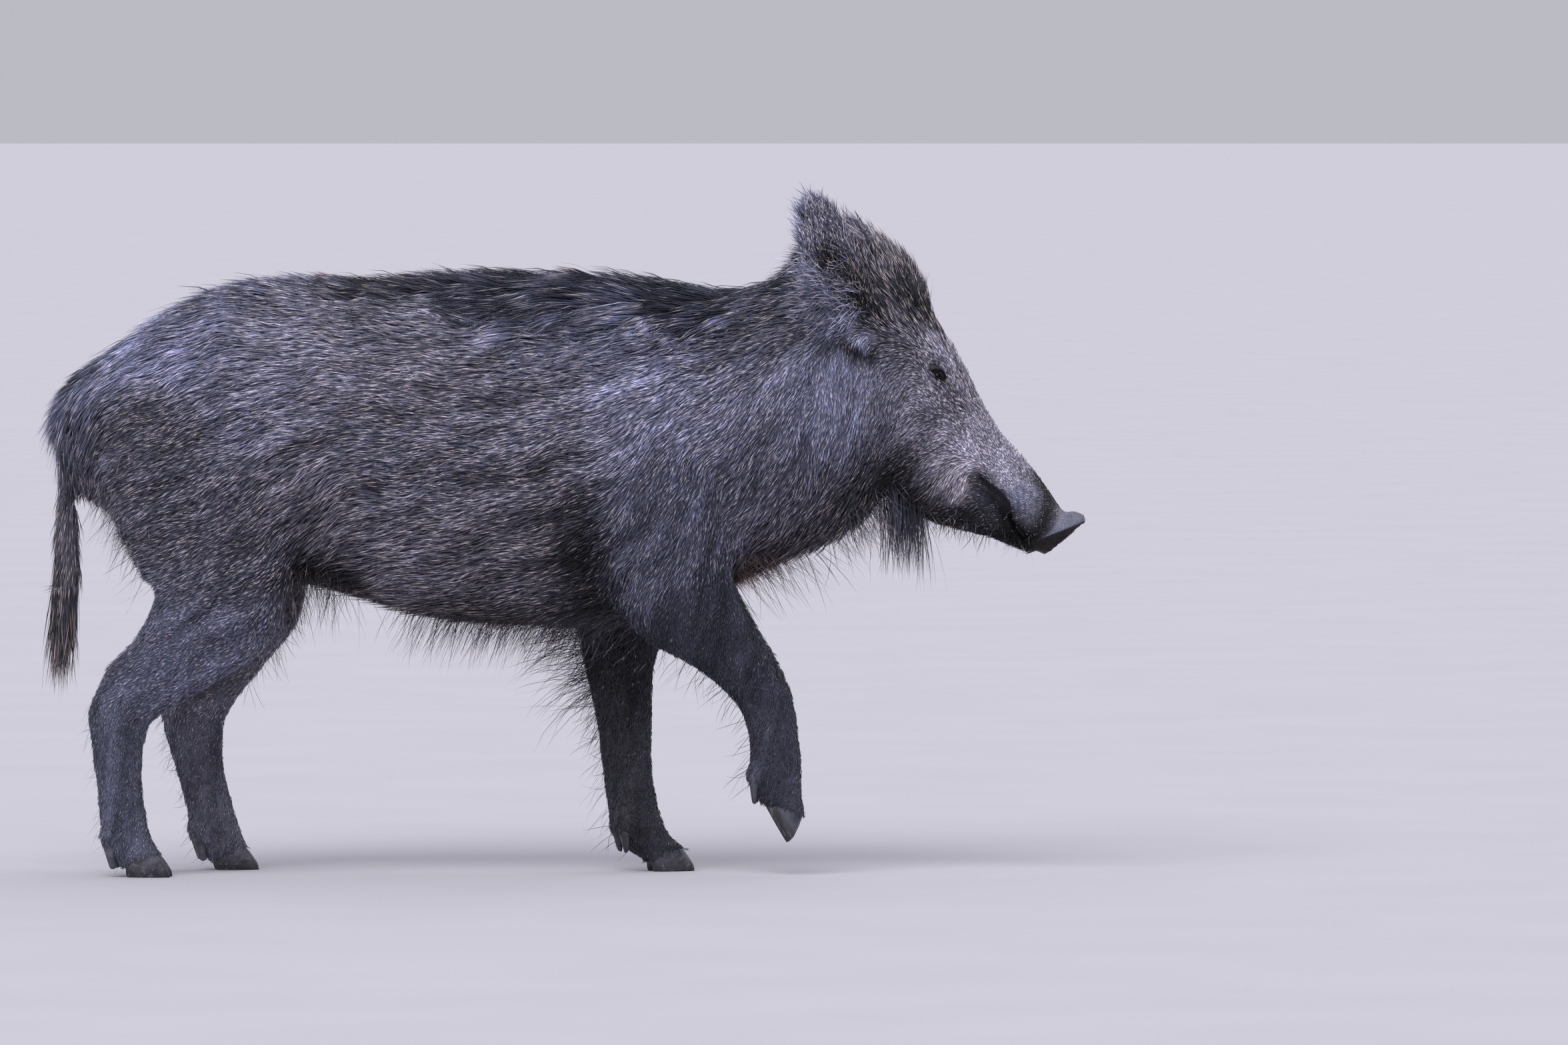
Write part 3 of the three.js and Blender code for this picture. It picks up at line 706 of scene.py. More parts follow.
# Small markings and painted shades, as seen from the side: the places in X and Z that each runs
# through, its half width, what the lightness is multiplied by, and the same for the share of pale
# tips. The ear hollow, under the ear, the groin and behind the elbow are painted shade.
MARKINGS_AND_SHADES = {
    "jaw": (((428, 524), (462, 514), (492, 494), (522, 472), (560, 458), (600, 444)), 38, 0.64, 0.3),
    "mouth": (((548, 522), (559, 508), (571, 494), (582, 474), (590, 456), (600, 440)), 12, 0.34, 0.3),
    "behind the disc": (((630, 523), (640, 502), (637, 484), (630, 462), (616, 438)), 14, 0.3, 0.4),
    # painted shade in the ear's hollow
    "ear hollow": (((352, 804), (368, 786), (384, 764), (394, 742)), 23, 0.2, 0.25),
    "ear fold": (((362, 733), (400, 709)), 14, 1.5, 1.4),
    # painted shadow under the ear
    "under the ear": (((364, 706), (384, 695), (404, 691)), 12, 0.34, 0.3),
    "behind the ear": (((322, 712), (346, 700)), 14, 0.7, 0.8),
    "forehead": (((462, 778), (468, 736)), 16, 0.6, 0.6),
    "over the brow": (((488, 742), (500, 722)), 11, 0.6, 0.6),
    "brow": (((456, 716), (498, 692), (520, 672)), 14, 1.3, 1.4),
    "before the eye": (((505, 640), (522, 616)), 12, 0.8, 0.8),
    "bridge": (((535, 640), (560, 600), (585, 560)), 16, 1.15, 1.2),
    # painted shade in the groin's hollow
    "groin": (((-338, 412), (-304, 396), (-268, 382)), 26, 0.45, 0.5),
    # painted shade in the pocket behind the elbow
    "behind the elbow": (((36, 420), (40, 385), (46, 352)), 26, 0.55, 0.5),
}


def from_segment(points, start, end):
    """Distance from a straight line between two places."""
    run = end - start
    share = np.clip((points - start) @ run / (run @ run), 0, 1)
    return np.linalg.norm(points - start - share[:, None] * run, axis=1)


def from_path(points, path):
    """Distance from a bent line on either side of the body."""
    at = np.stack([points[:, 0], np.abs(points[:, 1]), points[:, 2]], axis=1)
    nearest = np.full(len(at), 1e9)
    for start, end in zip(path, path[1:]):
        gap = from_segment(at, np.array(start, float), np.array(end, float))
        nearest = np.minimum(nearest, gap)
    return nearest


def side_distance(points, path):
    """Distance in X and Z from a bent line, however far aside the points are."""
    flat = np.stack([points[:, 0], np.zeros(len(points)), points[:, 2]], axis=1)
    return from_path(flat, [(x, 0, z) for x, z in path])


def markings_and_shades(flecks):
    """How much lighter or darker the markings and painted shades make each vertex, and the pale tips that
    they leave.
    """
    shades = np.ones(len(flecks))
    for path, width, shade, share in MARKINGS_AND_SHADES.values():
        near = bump(side_distance(skin.points / MM, path), width)
        shades = shades * mixed(1, shade, near)
        flecks = flecks * mixed(1, share, near)
    return shades, flecks


lie_field, coat_values = coat_fields()
# Lightness holds painted light and shade as well as the coat's own tone; the bluish tint is partly a
# painted sky sheen.
length_field, angle_field, light_field, fleck_field, blue_and_sheen_field = coat_values.T
marked_and_shaded_field, fleck_field = markings_and_shades(fleck_field)
light_field = light_field * marked_and_shaded_field
bare = skin.spread(in_nodes("nose_disc"), 1)
length_field = length_field * (1 - bare)
skin.move(-skin.spread(coat_depth(length_field, angle_field), 3))

# ------------------------------------------------------------------ forms on the skin

# Muscles and hollows: centre, reach along X, across and up, and how far they stand out.
BODY_FORMS = {
    "shoulder blade": ((112, 135, 640), (42, 60, 85), 5),
    "behind the blade": ((18, 140, 620), (34, 60, 110), -4),
    "upper arm": ((140, 140, 470), (50, 50, 60), 4),
    "elbow pocket": ((42, 135, 432), (26, 60, 34), -9),
    "flank hollow": ((-320, 125, 640), (60, 60, 60), -5),
    "fold pocket": ((-350, 120, 440), (30, 50, 44), -6),
    "haunch": ((-470, 135, 560), (70, 60, 80), 5),
    "ham": ((-560, 110, 470), (40, 60, 60), 3),
    "hip": ((-450, 95, 735), (45, 50, 30), 4),
    "belly": ((-120, 90, 350), (120, 60, 40), 4),
}
HEAD_FORMS = {
    "brow ridge": ((84, 54, 62), (20, 16, 10), 3.5),
    "cheek": ((50, 90, -40), (50, 30, 40), 4),
    "cheek front": ((118, 74, -20), (24, 24, 26), 2.5),
    "hollow before the eye": ((150, 60, 26), (26, 20, 14), -3.5),
    "bridge": ((230, 0, 66), (70, 16, 20), 1.5),
    "whisker pad": ((212, 50, -18), (20, 20, 14), 3),
    "upper lip": ((285, 38, 6), (40, 16, 9), 2.5),
    "chin": ((322, 10, -24), (18, 16, 12), 2),
    "jaw groove": ((150, 40, -104), (50, 20, 16), -3),
    "ear root": ((-10, 62, 70), (22, 22, 22), 4),
}

# Creases: the places they run through, their half width and depth.
BODY_CREASES = {
    "behind the shoulder": (((62, 150, 660), (40, 155, 560), (40, 145, 450)), 13, 5),
    "flank fold": (((-292, 150, 560), (-340, 145, 485), (-374, 120, 425)), 12, 6),
    "breast": (((214, 115, 520), (200, 110, 440), (206, 80, 380)), 13, 5),
    "neck front": (((392, 95, 710), (380, 110, 640), (384, 100, 570)), 7, 3),
    "neck middle": (((356, 95, 730), (346, 112, 650), (352, 100, 560)), 6, 2.4),
    "neck rear": (((318, 100, 730), (308, 118, 650), (316, 105, 570)), 7, 2.4),
    "behind the ear": (((388, 75, 715), (362, 85, 712), (338, 88, 724)), 8, 4),
}
HEAD_CREASES = {
    "snout furrow": (((160, 62, 32), (220, 50, 28), (300, 42, 26)), 7, 2),
    "tear line": (((111, 62, 33), (126, 62, 24), (144, 62, 18)), 2.6, 2),
    "jaw to neck": (((78, 75, -98), (30, 92, -98), (-10, 92, -80)), 12, 6),
    "cheek edge": (((108, 80, -58), (160, 64, -58), (200, 54, -40)), 8, 3),
    "behind the disc": (((334, 30, -4), (334, 42, 26), (336, 30, 58), (336, 0, 62)), 5, 2.5),
}

# The line of the mouth in X and Z, from the disc to its corner, and the lip that rolls out beside it.
MOUTH = (
    (548, 523),
    (561, 509),
    (574, 499),
    (581, 490),
    (586, 478),
    (590, 466),
    (596, 454),
    (606, 442),
)
MOUTH_CREASE = {"width": 4.5, "depth": 5, "lip": 1.6, "lip_at": 7, "lip_width": 4}

WRINKLES = {
    "centre": (352, 100, 655),
    "reach": (66, 60, 72),
    "spacing": 12.5,
    "slant": 0.12,
    "wander": 6,
    "depth": 1.5,
}


def offset(points, centre, reach):
    """Distance from a centre on either side of the body, with 1 at the reach."""
    gap = np.stack([points[:, 0], np.abs(points[:, 1]), points[:, 2]], axis=1) - np.array(centre)
    return np.linalg.norm(gap / np.array(reach), axis=1)


def shape_body():
    """Muscles, folds and neck wrinkles."""
    body = skin.points / MM
    head = in_head(skin.points)
    on_face = skin.spread(in_nodes(*HEAD), 2)
    amount = np.zeros(len(body))
    for centre, reach, height in BODY_FORMS.values():
        amount += height * bump(offset(body, centre, reach), 1)
    for centre, reach, height in HEAD_FORMS.values():
        amount += height * bump(offset(head, centre, reach), 1) * on_face
    for path, width, depth in BODY_CREASES.values():
        amount -= depth * bump(from_path(body, path), width)
    for path, width, depth in HEAD_CREASES.values():
        amount -= depth * bump(from_path(head, path), width) * on_face
    from_mouth = side_distance(body, MOUTH)
    amount -= MOUTH_CREASE["depth"] * bump(from_mouth, MOUTH_CREASE["width"]) * on_face
    from_lip = from_mouth - MOUTH_CREASE["lip_at"]
    amount += MOUTH_CREASE["lip"] * bump(from_lip, MOUTH_CREASE["lip_width"]) * on_face
    near = bump(offset(body, WRINKLES["centre"], WRINKLES["reach"]), 1)
    bend = WRINKLES["wander"] * waves(skin.points, 90, SEED + 1)
    run = body[:, 0] + bend + WRINKLES["slant"] * body[:, 2]
    turn = 2 * math.pi * run / WRINKLES["spacing"]
    amount += WRINKLES["depth"] * np.cos(turn) * near * (1 - on_face)
    skin.move(amount)


# ------------------------------------------------------------------ nose disc and eyes

NOSTRIL = {"above": 37, "aside": 13.5, "wide": 7.5, "high": 9, "depth": 10, "rim": 1.6}
DISC_RIM = {"wide": 33, "high": 38, "roll": 2.2}
DISC_GROOVE = {"half": 2.5, "depth": 1.2}
DISC_DEPTH = {"shaped": 12, "dark": 16}     # how far behind the disc's face its forms and its dark go


def from_nostril(head):
    """How far places in the head's frame lie from the middle of a nostril, with 1 on its edge."""
    across = (head[:, 1] - NOSTRIL["aside"]) / NOSTRIL["wide"]
    return np.hypot(across, (head[:, 2] - NOSTRIL["above"]) / NOSTRIL["high"])


def shape_disc():
    """Nostrils, the rolled rim and the groove down the middle of the disc."""
    head = in_head(skin.points)
    along, aside, above = head.T
    in_front = along > DISC_AT[0] - DISC_DEPTH["shaped"]
    facing = smooth_step(skin.normals @ SNOUT_WAY, 0.3, 0.8) * in_front
    out = from_nostril(head)
    pit = np.clip(1 - out**3, 0, 1) * NOSTRIL["depth"]
    lip = bump(out - 1.35, 0.3) * NOSTRIL["rim"]
    middle = bump(aside, DISC_GROOVE["half"]) * DISC_GROOVE["depth"]
    from_rim = np.hypot(aside / DISC_RIM["wide"], (above - DISC_AT[2]) / DISC_RIM["high"])
    roll = bump(from_rim - 0.93, 0.12) * DISC_RIM["roll"]
    forward = (lip + roll - pit - middle) * facing
    skin.points = skin.points + SNOUT_WAY * (forward * MM)[:, None]
    skin.refresh()


EYE_LOOK = (0.36, 0.87, 0.32)       # forward, outward, up
FISSURE_WAY = (0.86, 0, -0.5)       # from the rear corner to the front one
FISSURE = {"half": 12, "up": 8.4, "down": 7.0, "point": 1.6}
# The lids: the ball that they are drawn over, their thickness, how far their rims roll out, how far
# round the eye they are drawn and from where they pass into the face, and how the skin behind their
# opening sinks away.
LID = {"ball": 11.3, "gap": 1.3, "roll": 1.3, "reach": 25, "face": 9, "sink": 34, "deepest": -3}


def eye_frame(name):
    """Centre of an eyeball, the way it looks, the way along the lids and the way across them."""
    side = (1, side_of(name), 1)
    look = unit(np.array(EYE_LOOK) * side)
    along = np.array(FISSURE_WAY) - look * (np.array(FISSURE_WAY) @ look)
    along = unit(along)
    up = np.cross(look, along)
    return centre_of(name), look, along, up if up[2] > 0 else -up


def lid_edge(points, name):
    """How far points lie from the middle of an eye's opening, with 1 on the edge of the lids."""
    centre, _, along, up = eye_frame(name)
    away = (points - centre) / MM
    u = away @ along
    v = away @ up
    half = np.where(v > 0, FISSURE["up"], FISSURE["down"])
    power = FISSURE["point"]
    edge = (np.abs(u / FISSURE["half"]) ** power + np.abs(v / half) ** power) ** (1 / power)
    return edge, np.hypot(u, v)


def shape_eye(name):
    """Draws the lids over the eyeball and sinks the skin behind its opening."""
    centre, look, _, _ = eye_frame(name)
    edge, radius = lid_edge(skin.points, name)
    height = (skin.points - centre) @ look / MM
    near = (radius < LID["reach"]) & (height > -2)
    lid_radius = LID["ball"] + LID["gap"]
    cover = np.sqrt(np.clip(lid_radius**2 - radius**2, 4, None))
    cover = cover + LID["roll"] * bump(edge - 1.2, 0.28)
    blend = smooth_step(radius, LID["face"], LID["reach"])
    target = mixed(cover, height, blend)
    inside = np.clip(1 - edge, 0, 1)
    sunk = np.maximum(cover - inside * LID["sink"], LID["deepest"])
    target = np.where(edge < 1, sunk, target)
    shift = np.where(near, target - height, 0)
    skin.points = skin.points + look * (shift * MM)[:, None]
    skin.refresh()


shape_body()
shape_disc()
for eye_name in EYES:
    shape_eye(eye_name)

# ------------------------------------------------------------------ masks: where no hair grows

LIPS = 3.4              # half width of the bare edge of the mouth
# The bare wet strip at the front of the eye: where it ends, how far from its line it is darkest, and
# its half width.
TEAR = {"along": 19, "across": -3, "beside": 2, "half": 3.2}
FULL = 1.2              # a soft mask rises this high, so that it holds over some width


def bare_places():
    """1 where the skin is bare and dark: lid rims and openings, lips and nostrils."""
    head = in_head(skin.points)
    from_mouth = side_distance(skin.points / MM, MOUTH)
    dark = FULL * bump(from_mouth, LIPS) * skin.spread(in_nodes(*HEAD), 1)
    for name in EYES:
        centre, look, along, up = eye_frame(name)
        edge, radius = lid_edge(skin.points, name)
        near = (radius < LID["reach"]) & ((skin.points - centre) @ look > -4 * MM)
        dark = np.maximum(dark, (1 - smooth_step(edge, 1.12, 1.36)) * near)
        corner = centre + along * FISSURE["half"] * MM
        tear = centre + (along * TEAR["along"] + up * TEAR["across"]) * MM
        gap = from_segment(skin.points, corner, tear) / MM
        dark = np.maximum(dark, FULL * bump(gap - TEAR["beside"], TEAR["half"]))
    nostril = 1 - smooth_step(from_nostril(head), 0.5, 1.1)
    nostril = nostril * (head[:, 0] > DISC_AT[0] - DISC_DEPTH["dark"])
    return np.maximum(dark, nostril)


dark_skin = np.clip(bare_places(), 0, 1)
hairless = np.clip(np.maximum(bare * 1.4, dark_skin * 1.25), 0, 1)

# ------------------------------------------------------------------ streaks and bands

STREAKS = ((30, 0.17, 3), (10, 0.22, 4))     # width, strength and seed of the combed streaks
STREAK_RUN = 34                             # how far a streak keeps its shade along the hair, mm
STREAK_WAVES = 6                            # how many random waves make it up
# Bands of lighter and darker coat on the flank, partly its own tone and partly painted light and shade
# of the coat's waves: how steeply they rise towards the back (degrees), their spacing, strength and
# waviness, and where they run in X and in Z.
BAND = {
    "rise": 26,
    "spacing": 66,
    "strength": 0.14,
    "warp": 13,
    "along": (-480, -330, 60, 200),
    "height": (350, 440, 720, 780),
}
SHADE = (0.35, 1.8)                         # the darkest and lightest shade that a tuft can take


def combed(points, lies, size, seed):
    """A random shade that runs in streaks along the lie of the hair."""
    total = np.zeros(len(points))
    steps = np.linspace(-1, 1, 7) * STREAK_RUN * MM
    for step in steps:
        for part in range(STREAK_WAVES):
            total += waves(points + lies * step, size, SEED + 10 * seed + part)
    return total / (2 * STREAK_WAVES)


def shade_of(points, lies):
    """How much lighter or darker than its place on the body a tuft is: streaks and bands, partly its own
    tone and partly painted light and shade of the coat's waves.
    """
    shade = np.ones(len(points))
    # Combed streaks: partly the coat's own tone, partly painted light and shade along the locks.
    for size, strength, seed in STREAKS:
        shade += strength * combed(points, lies, size, seed)
    body = points / MM
    rise = math.radians(BAND["rise"])
    height = body[:, 2] * math.cos(rise) - body[:, 0] * math.sin(rise)
    height += BAND["warp"] * waves(points, 150, SEED + 5)
    on_flank = plateau(body[:, 0], *BAND["along"]) * plateau(body[:, 2], *BAND["height"])
    strong = BAND["strength"] * (0.7 + 0.5 * waves(points, 110, SEED + 6))
    # Diagonal bands on the flank: partly the coat's own tone, partly painted light and shade of its
    # waves.
    shade += on_flank * strong * np.sin(2 * math.pi * height / BAND["spacing"])
    return np.clip(shade, *SHADE)


# ------------------------------------------------------------------ the skin as a piece

PLATE = {"along": 350, "above": 26, "slope": 3.0}     # the lower edge of the disc's upper side, painted pale as lit from above
SKIN_ALONG = 0.12       # the skin takes the painted shade of a tuft near its root
PATCH = 0.0014          # half the size of a tuft's patch on the unwrapped skin
COAT_GAIN = 1.48        # how light the whole coat is
PALE_SHARE = 0.84       # how many of the tufts that a place gives pale tips really have them
FLECK_GATHER = 1.8      # how strongly the pale tips gather in the lighter bands


def tangent(ways, normals):
    """Ways laid into the surface."""
    return unit(ways - normals * (ways * normals).sum(axis=1, keepdims=True))


def linear(lightness):
    """A lightness out of 255 as the share of light sent back."""
    return COAT_GAIN * (lightness / 255) ** 2.2


def marks_of(lightness, flecks, blueness_and_sheen):
    """Light sent back, share of pale tips and the bluish tint with its painted sheen, as the materials
    read them.
    """
    return np.stack([linear(lightness), PALE_SHARE * flecks, blueness_and_sheen], axis=1)


def unwrap(piece, name):
    """Unwraps a mesh in small flat islands."""
    piece.data.uv_layers.new(name=name)
    bpy.ops.object.select_all(action="DESELECT")
    piece.select_set(True)
    bpy.context.view_layer.objects.active = piece
    bpy.ops.object.mode_set(mode="EDIT")
    bpy.ops.mesh.select_all(action="SELECT")
    bpy.ops.uv.smart_project(angle_limit=1.15, island_margin=0.002)
    bpy.ops.object.mode_set(mode="OBJECT")


def make_skin():
    """The skin piece, with its unwrap and the fields that its material reads."""
    mesh = skin.mesh
    mesh.name = "skin"
    reshape(mesh, skin.points)
    piece = new_object("skin", mesh)
    unwrap(piece, "OFBake")
    count = len(skin.points)
    add_field(mesh, "place", skin.points)
    add_field(mesh, "along", np.full(count, SKIN_ALONG))
    add_field(mesh, "chance", np.tile((0.45, 1.0, 0.5), (count, 1)))
    lightness = light_field * shade_of(skin.points, skin_lie)
    add_field(mesh, "marks", marks_of(lightness, fleck_field, blue_and_sheen_field))
    add_field(mesh, "bare", np.clip(bare, 0, 1))
    add_field(mesh, "dark", dark_skin)
    # Painted shade on the disc: below its lit upper side, and where it faces the way that the snout
    # points.
    along, _, above = in_head(skin.points).T
    plate_edge = PLATE["above"] + PLATE["slope"] * (along - PLATE["along"])
    under = smooth_step(plate_edge - above, -3, 3)
    front = smooth_step(skin.normals @ SNOUT_WAY, 0.35, 0.75)
    add_field(mesh, "nose_face_shaded", np.maximum(under, front))
    return piece


skin_lie = tangent(lie_field, skin.normals)
skin_piece = make_skin()
skin_uv = read(skin_piece.data.uv_layers["OFBake"].data, "uv", 2)[skin.corners]

skin_areas = np.linalg.norm(face_normals(skin.points, skin.triangles), axis=1) / 2

# ------------------------------------------------------------------ tufts

# How a tuft is built: it starts from a point in the skin and ends in its tip. Between them are rings
# of three points: where they stand along it, and how wide it is at each.
FORMS = {
    "lying": ((0.52,), (1.0,)),
    "strand": ((0.25, 0.65), (1.0, 0.75)),
    "lock": ((0.12, 0.42, 0.74), (0.85, 1.0, 0.65)),
}
RIDGE = 0.4             # height of a tuft's ridge beside its width
LATE = 1.3              # how late along a tuft its colour turns from the painted shade at the root to the tip's
SUNK = 0.6              # how deep its root sits in the skin, mm
FLOOR_GAP = 3           # how high over the floor the hair stays, mm
LOCK_CURVE = 1.6        # how late along the tufts of a lock they come together
# How far one tuft's length, angle and width may be from what its place gives.
LIMITS = {"length": (0.4, 1.7), "angle": (0.3, 2.0), "width": (0.5, 1.6)}


def tuft_faces(rings):
    """The triangles of one tuft: those at its root, the bands between the rings and the tip."""
    ring = [[1 + 3 * row + corner for corner in range(3)] for row in range(rings)]
    tip = 1 + 3 * rings
    turn = ((0, 1), (1, 2), (2, 0))
    faces = [(0, ring[0][j], ring[0][k]) for j, k in turn]
    for lower, upper in zip(ring, ring[1:]):
        for j, k in turn:
            faces += [(lower[k], lower[j], upper[j]), (lower[k], upper[j], upper[k])]
    faces += [(tip, ring[-1][k], ring[-1][j]) for j, k in turn]
    return np.array(faces)


class Roots:
    """Where tufts grow: their places on the skin, and the skin's fields there."""

    def __init__(self, chance, seed):
        """`chance` is the number of tufts per square metre at each vertex of the skin."""
        self.rng = np.random.default_rng(SEED * 1000 + seed)
        expected = skin_areas * chance[skin.triangles].mean(axis=1)
        total = int(expected.sum())
        spots = (np.arange(total) + self.rng.random(total)) * expected.sum() / total
        self.face = np.minimum(np.searchsorted(np.cumsum(expected), spots), len(expected) - 1)
        share = np.sqrt(self.rng.random(total))
        other = self.rng.random(total)
        self.weights = np.stack([1 - share, share * (1 - other), share * other], axis=1)
        self.count = total
        self.points = self.at(skin.points)
        self.normals = unit(self.at(skin.normals))
        self.lies = tangent(self.at(skin_lie), self.normals)
        self.lengths = self.at(length_field)
        self.angles = self.at(angle_field)
        fields = (light_field, fleck_field, blue_and_sheen_field)
        self.marks = np.stack([self.at(field) for field in fields], axis=1)
        self.uv = np.einsum("nc,ncd->nd", self.weights, skin_uv[self.face])
        self.region = region[skin.triangles[self.face, 0]]
        self.sag = 0.0
        self.stay = LAID
        self.bends = np.zeros(total)

    def gather(self, row):
        """Takes from a table's row how the tufts fall in locks, and how the locks differ in shade."""
        self.pull = row["pull"]
        self.cell = row["cell"]
        self.contrast = row["contrast"]

    def at(self, field):
        """A field of the skin at the roots."""
        corners = field[skin.triangles[self.face]]
        return np.einsum("nc,nc...->n...", self.weights, corners)

    def turn_lies(self, turn):
        """Turns the lies by angles in radians, along the skin."""
        beside = np.cross(self.normals, self.lies)
        self.lies = self.lies * np.cos(turn)[:, None] + beside * np.sin(turn)[:, None]

    def swirl(self, degrees, size):
        """Turns the lies by a smooth random angle, so that the coat isn't combed straight."""
        self.turn_lies(np.radians(degrees) * waves(self.points, size, self.rng.integers(1 << 30)))

    def scatter_lies(self, degrees):
        """Turns each tuft by an angle of its own."""
        self.turn_lies(np.radians(self.rng.normal(0, degrees, self.count)))

    def aim(self, way, least):
        """Points the tufts one way, but never flatter on the skin than the least angle."""
        ways = np.broadcast_to(np.array(way, float), self.points.shape).copy()
        ways[:, 1] *= np.tanh(self.points[:, 1] / (MIDLINE * MM))
        ways = unit(ways)
        self.lies = tangent(ways, self.normals)
        lift = np.degrees(np.arcsin(np.clip((ways * self.normals).sum(axis=1), -1, 1)))
        self.angles = np.maximum(lift, least)
        self.stay = 1.0

    def clumps(self):
        """The number of the lock that each tuft belongs to."""
        wander = waves(self.points, 60, SEED + 7, 3) * self.cell * 0.6 * MM
        cells = np.floor((self.points + wander) / (self.cell * MM)).astype(int)
        return np.unique(cells, axis=0, return_inverse=True)[1].ravel()

    def factors(self, spread, kind):
        """A factor for each tuft, about 1 and within the limits of its kind."""
        return np.clip(self.rng.normal(1, spread, self.count), *LIMITS[kind])

    def vary(self, length, angle):
        """Gives each tuft a length and an angle of its own."""
        self.lengths = self.lengths * self.factors(length, "length")
        self.angles = self.angles * self.factors(angle, "angle")


def centre_lines(roots, stops):
    """Points along each tuft. It leaves the skin at its angle, bends towards it and sags."""
    place = roots.points - roots.normals * SUNK * MM
    beside = np.cross(roots.normals, roots.lies)
    lines = [place]
    previous = 0.0
    for stop in stops:
        middle = (previous + stop) / 2
        bent = float(smooth_step(np.array(middle), BEND - 0.2, BEND + 0.2))
        lift = np.radians(roots.angles) * mixed(1, roots.stay, bent)
        way = roots.lies * np.cos(lift)[:, None] + roots.normals * np.sin(lift)[:, None]
        way[:, 2] -= roots.sag * middle * 2
        way += beside * (roots.bends * middle * 2)[:, None]
        place = place + unit(way) * (roots.lengths * (stop - previous) * MM)[:, None]
        place[:, 2] = np.maximum(place[:, 2], FLOOR_GAP * MM)
        lines.append(place)
        previous = stop
    return np.stack(lines, axis=1)


def draw_together(lines, roots, shares):
    """Pulls the tips of neighbours towards each other, so that the coat falls in locks."""
    cell = roots.clumps()
    tips = lines[:, -1]
    count = np.bincount(cell)
    centre = np.stack([np.bincount(cell, tips[:, axis]) / count for axis in range(3)], axis=1)
    pull = (centre[cell] - tips) * roots.pull
    return lines + pull[:, None, :] * (shares**LOCK_CURVE)[None, :, None]


def tuft_arrays(roots, form, width):
    """Points, faces and fields of all the tufts that grow from some roots."""
    rings, shares = FORMS[form]
    stops = rings + (1.0,)
    lines = centre_lines(roots, stops)
    if roots.pull > 0:
        lines = draw_together(lines, roots, np.array((0.0,) + stops))
    roll = roots.rng.normal(0, 0.5, roots.count)[:, None]
    wide = width * roots.factors(0.2, "width")[:, None] * MM
    stacks, alongs, patch = [lines[:, 0]], [0.0], [(0.0, -PATCH)]
    for row, (stop, share) in enumerate(zip(rings, shares)):
        way = unit(lines[:, row + 2] - lines[:, row])
        side = unit(np.cross(way, roots.normals))
        top = np.cross(side, way)
        flat = side * np.cos(roll) + top * np.sin(roll)
        ridge = top * np.cos(roll) - side * np.sin(roll)
        middle = lines[:, row + 1]
        stacks += [middle + flat * wide * share / 2, middle + ridge * wide * share * RIDGE]
        stacks += [middle - flat * wide * share / 2]
        alongs += [stop**LATE] * 3
        level = PATCH * (2 * stop - 1)
        patch += [(-PATCH, level), (0.0, level), (PATCH, level)]
    stacks.append(lines[:, -1])
    alongs.append(1.0)
    patch.append((0.0, PATCH))
    return np.stack(stacks, axis=1), tuft_faces(len(rings)), np.array(alongs), np.array(patch)


def tuft_piece(name, arrays, roots, keep, material):
    """One piece of the coat, from the tufts that `keep` picks."""
    points, faces, alongs, patch = arrays
    points = points[keep]
    count, corners = points.shape[:2]
    all_faces = (faces[None] + np.arange(count)[:, None, None] * corners).reshape(-1, 3)
    piece = build_mesh(name, points.reshape(-1, 3), all_faces)
    mesh = piece.data
    uv = np.clip(roots.uv[keep, None, :] + patch[None], 0.003, 0.997).reshape(-1, 2)
    corner_uv = uv[all_faces.ravel()].astype(np.float32)
    mesh.uv_layers.new(name="OFBake").data.foreach_set("uv", corner_uv.ravel())
    shade = roots.shade[keep]
    lightness, flecks, blueness_and_sheen = roots.marks[keep].T
    marks = marks_of(lightness * shade, flecks * shade**FLECK_GATHER, blueness_and_sheen)
    add_field(mesh, "place", np.repeat(roots.points[keep], corners, axis=0))
    add_field(mesh, "along", np.tile(alongs, count))
    add_field(mesh, "chance", np.repeat(roots.chance[keep], corners, axis=0))
    add_field(mesh, "marks", np.repeat(marks, corners, axis=0))
    mesh.materials.append(material)
    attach(piece, "root")
    return piece


def plant(roots, form, width, parting, material):
    """Grows tufts on some roots, in pieces: `parting` names the piece of each tuft."""
    cell = roots.clumps()
    own = roots.rng.random(cell.max() + 1)[cell]
    roots.shade = shade_of(roots.points, roots.lies) * (1 + roots.contrast * (2 * own - 1))
    roots.chance = roots.rng.random((roots.count, 3))
    arrays = tuft_arrays(roots, form, width)
    pieces = {}
    for name in sorted(set(parting)):
        keep = parting == name
        pieces[name] = tuft_piece(name, arrays, roots, keep, material)
    return pieces


# ------------------------------------------------------------------ materials


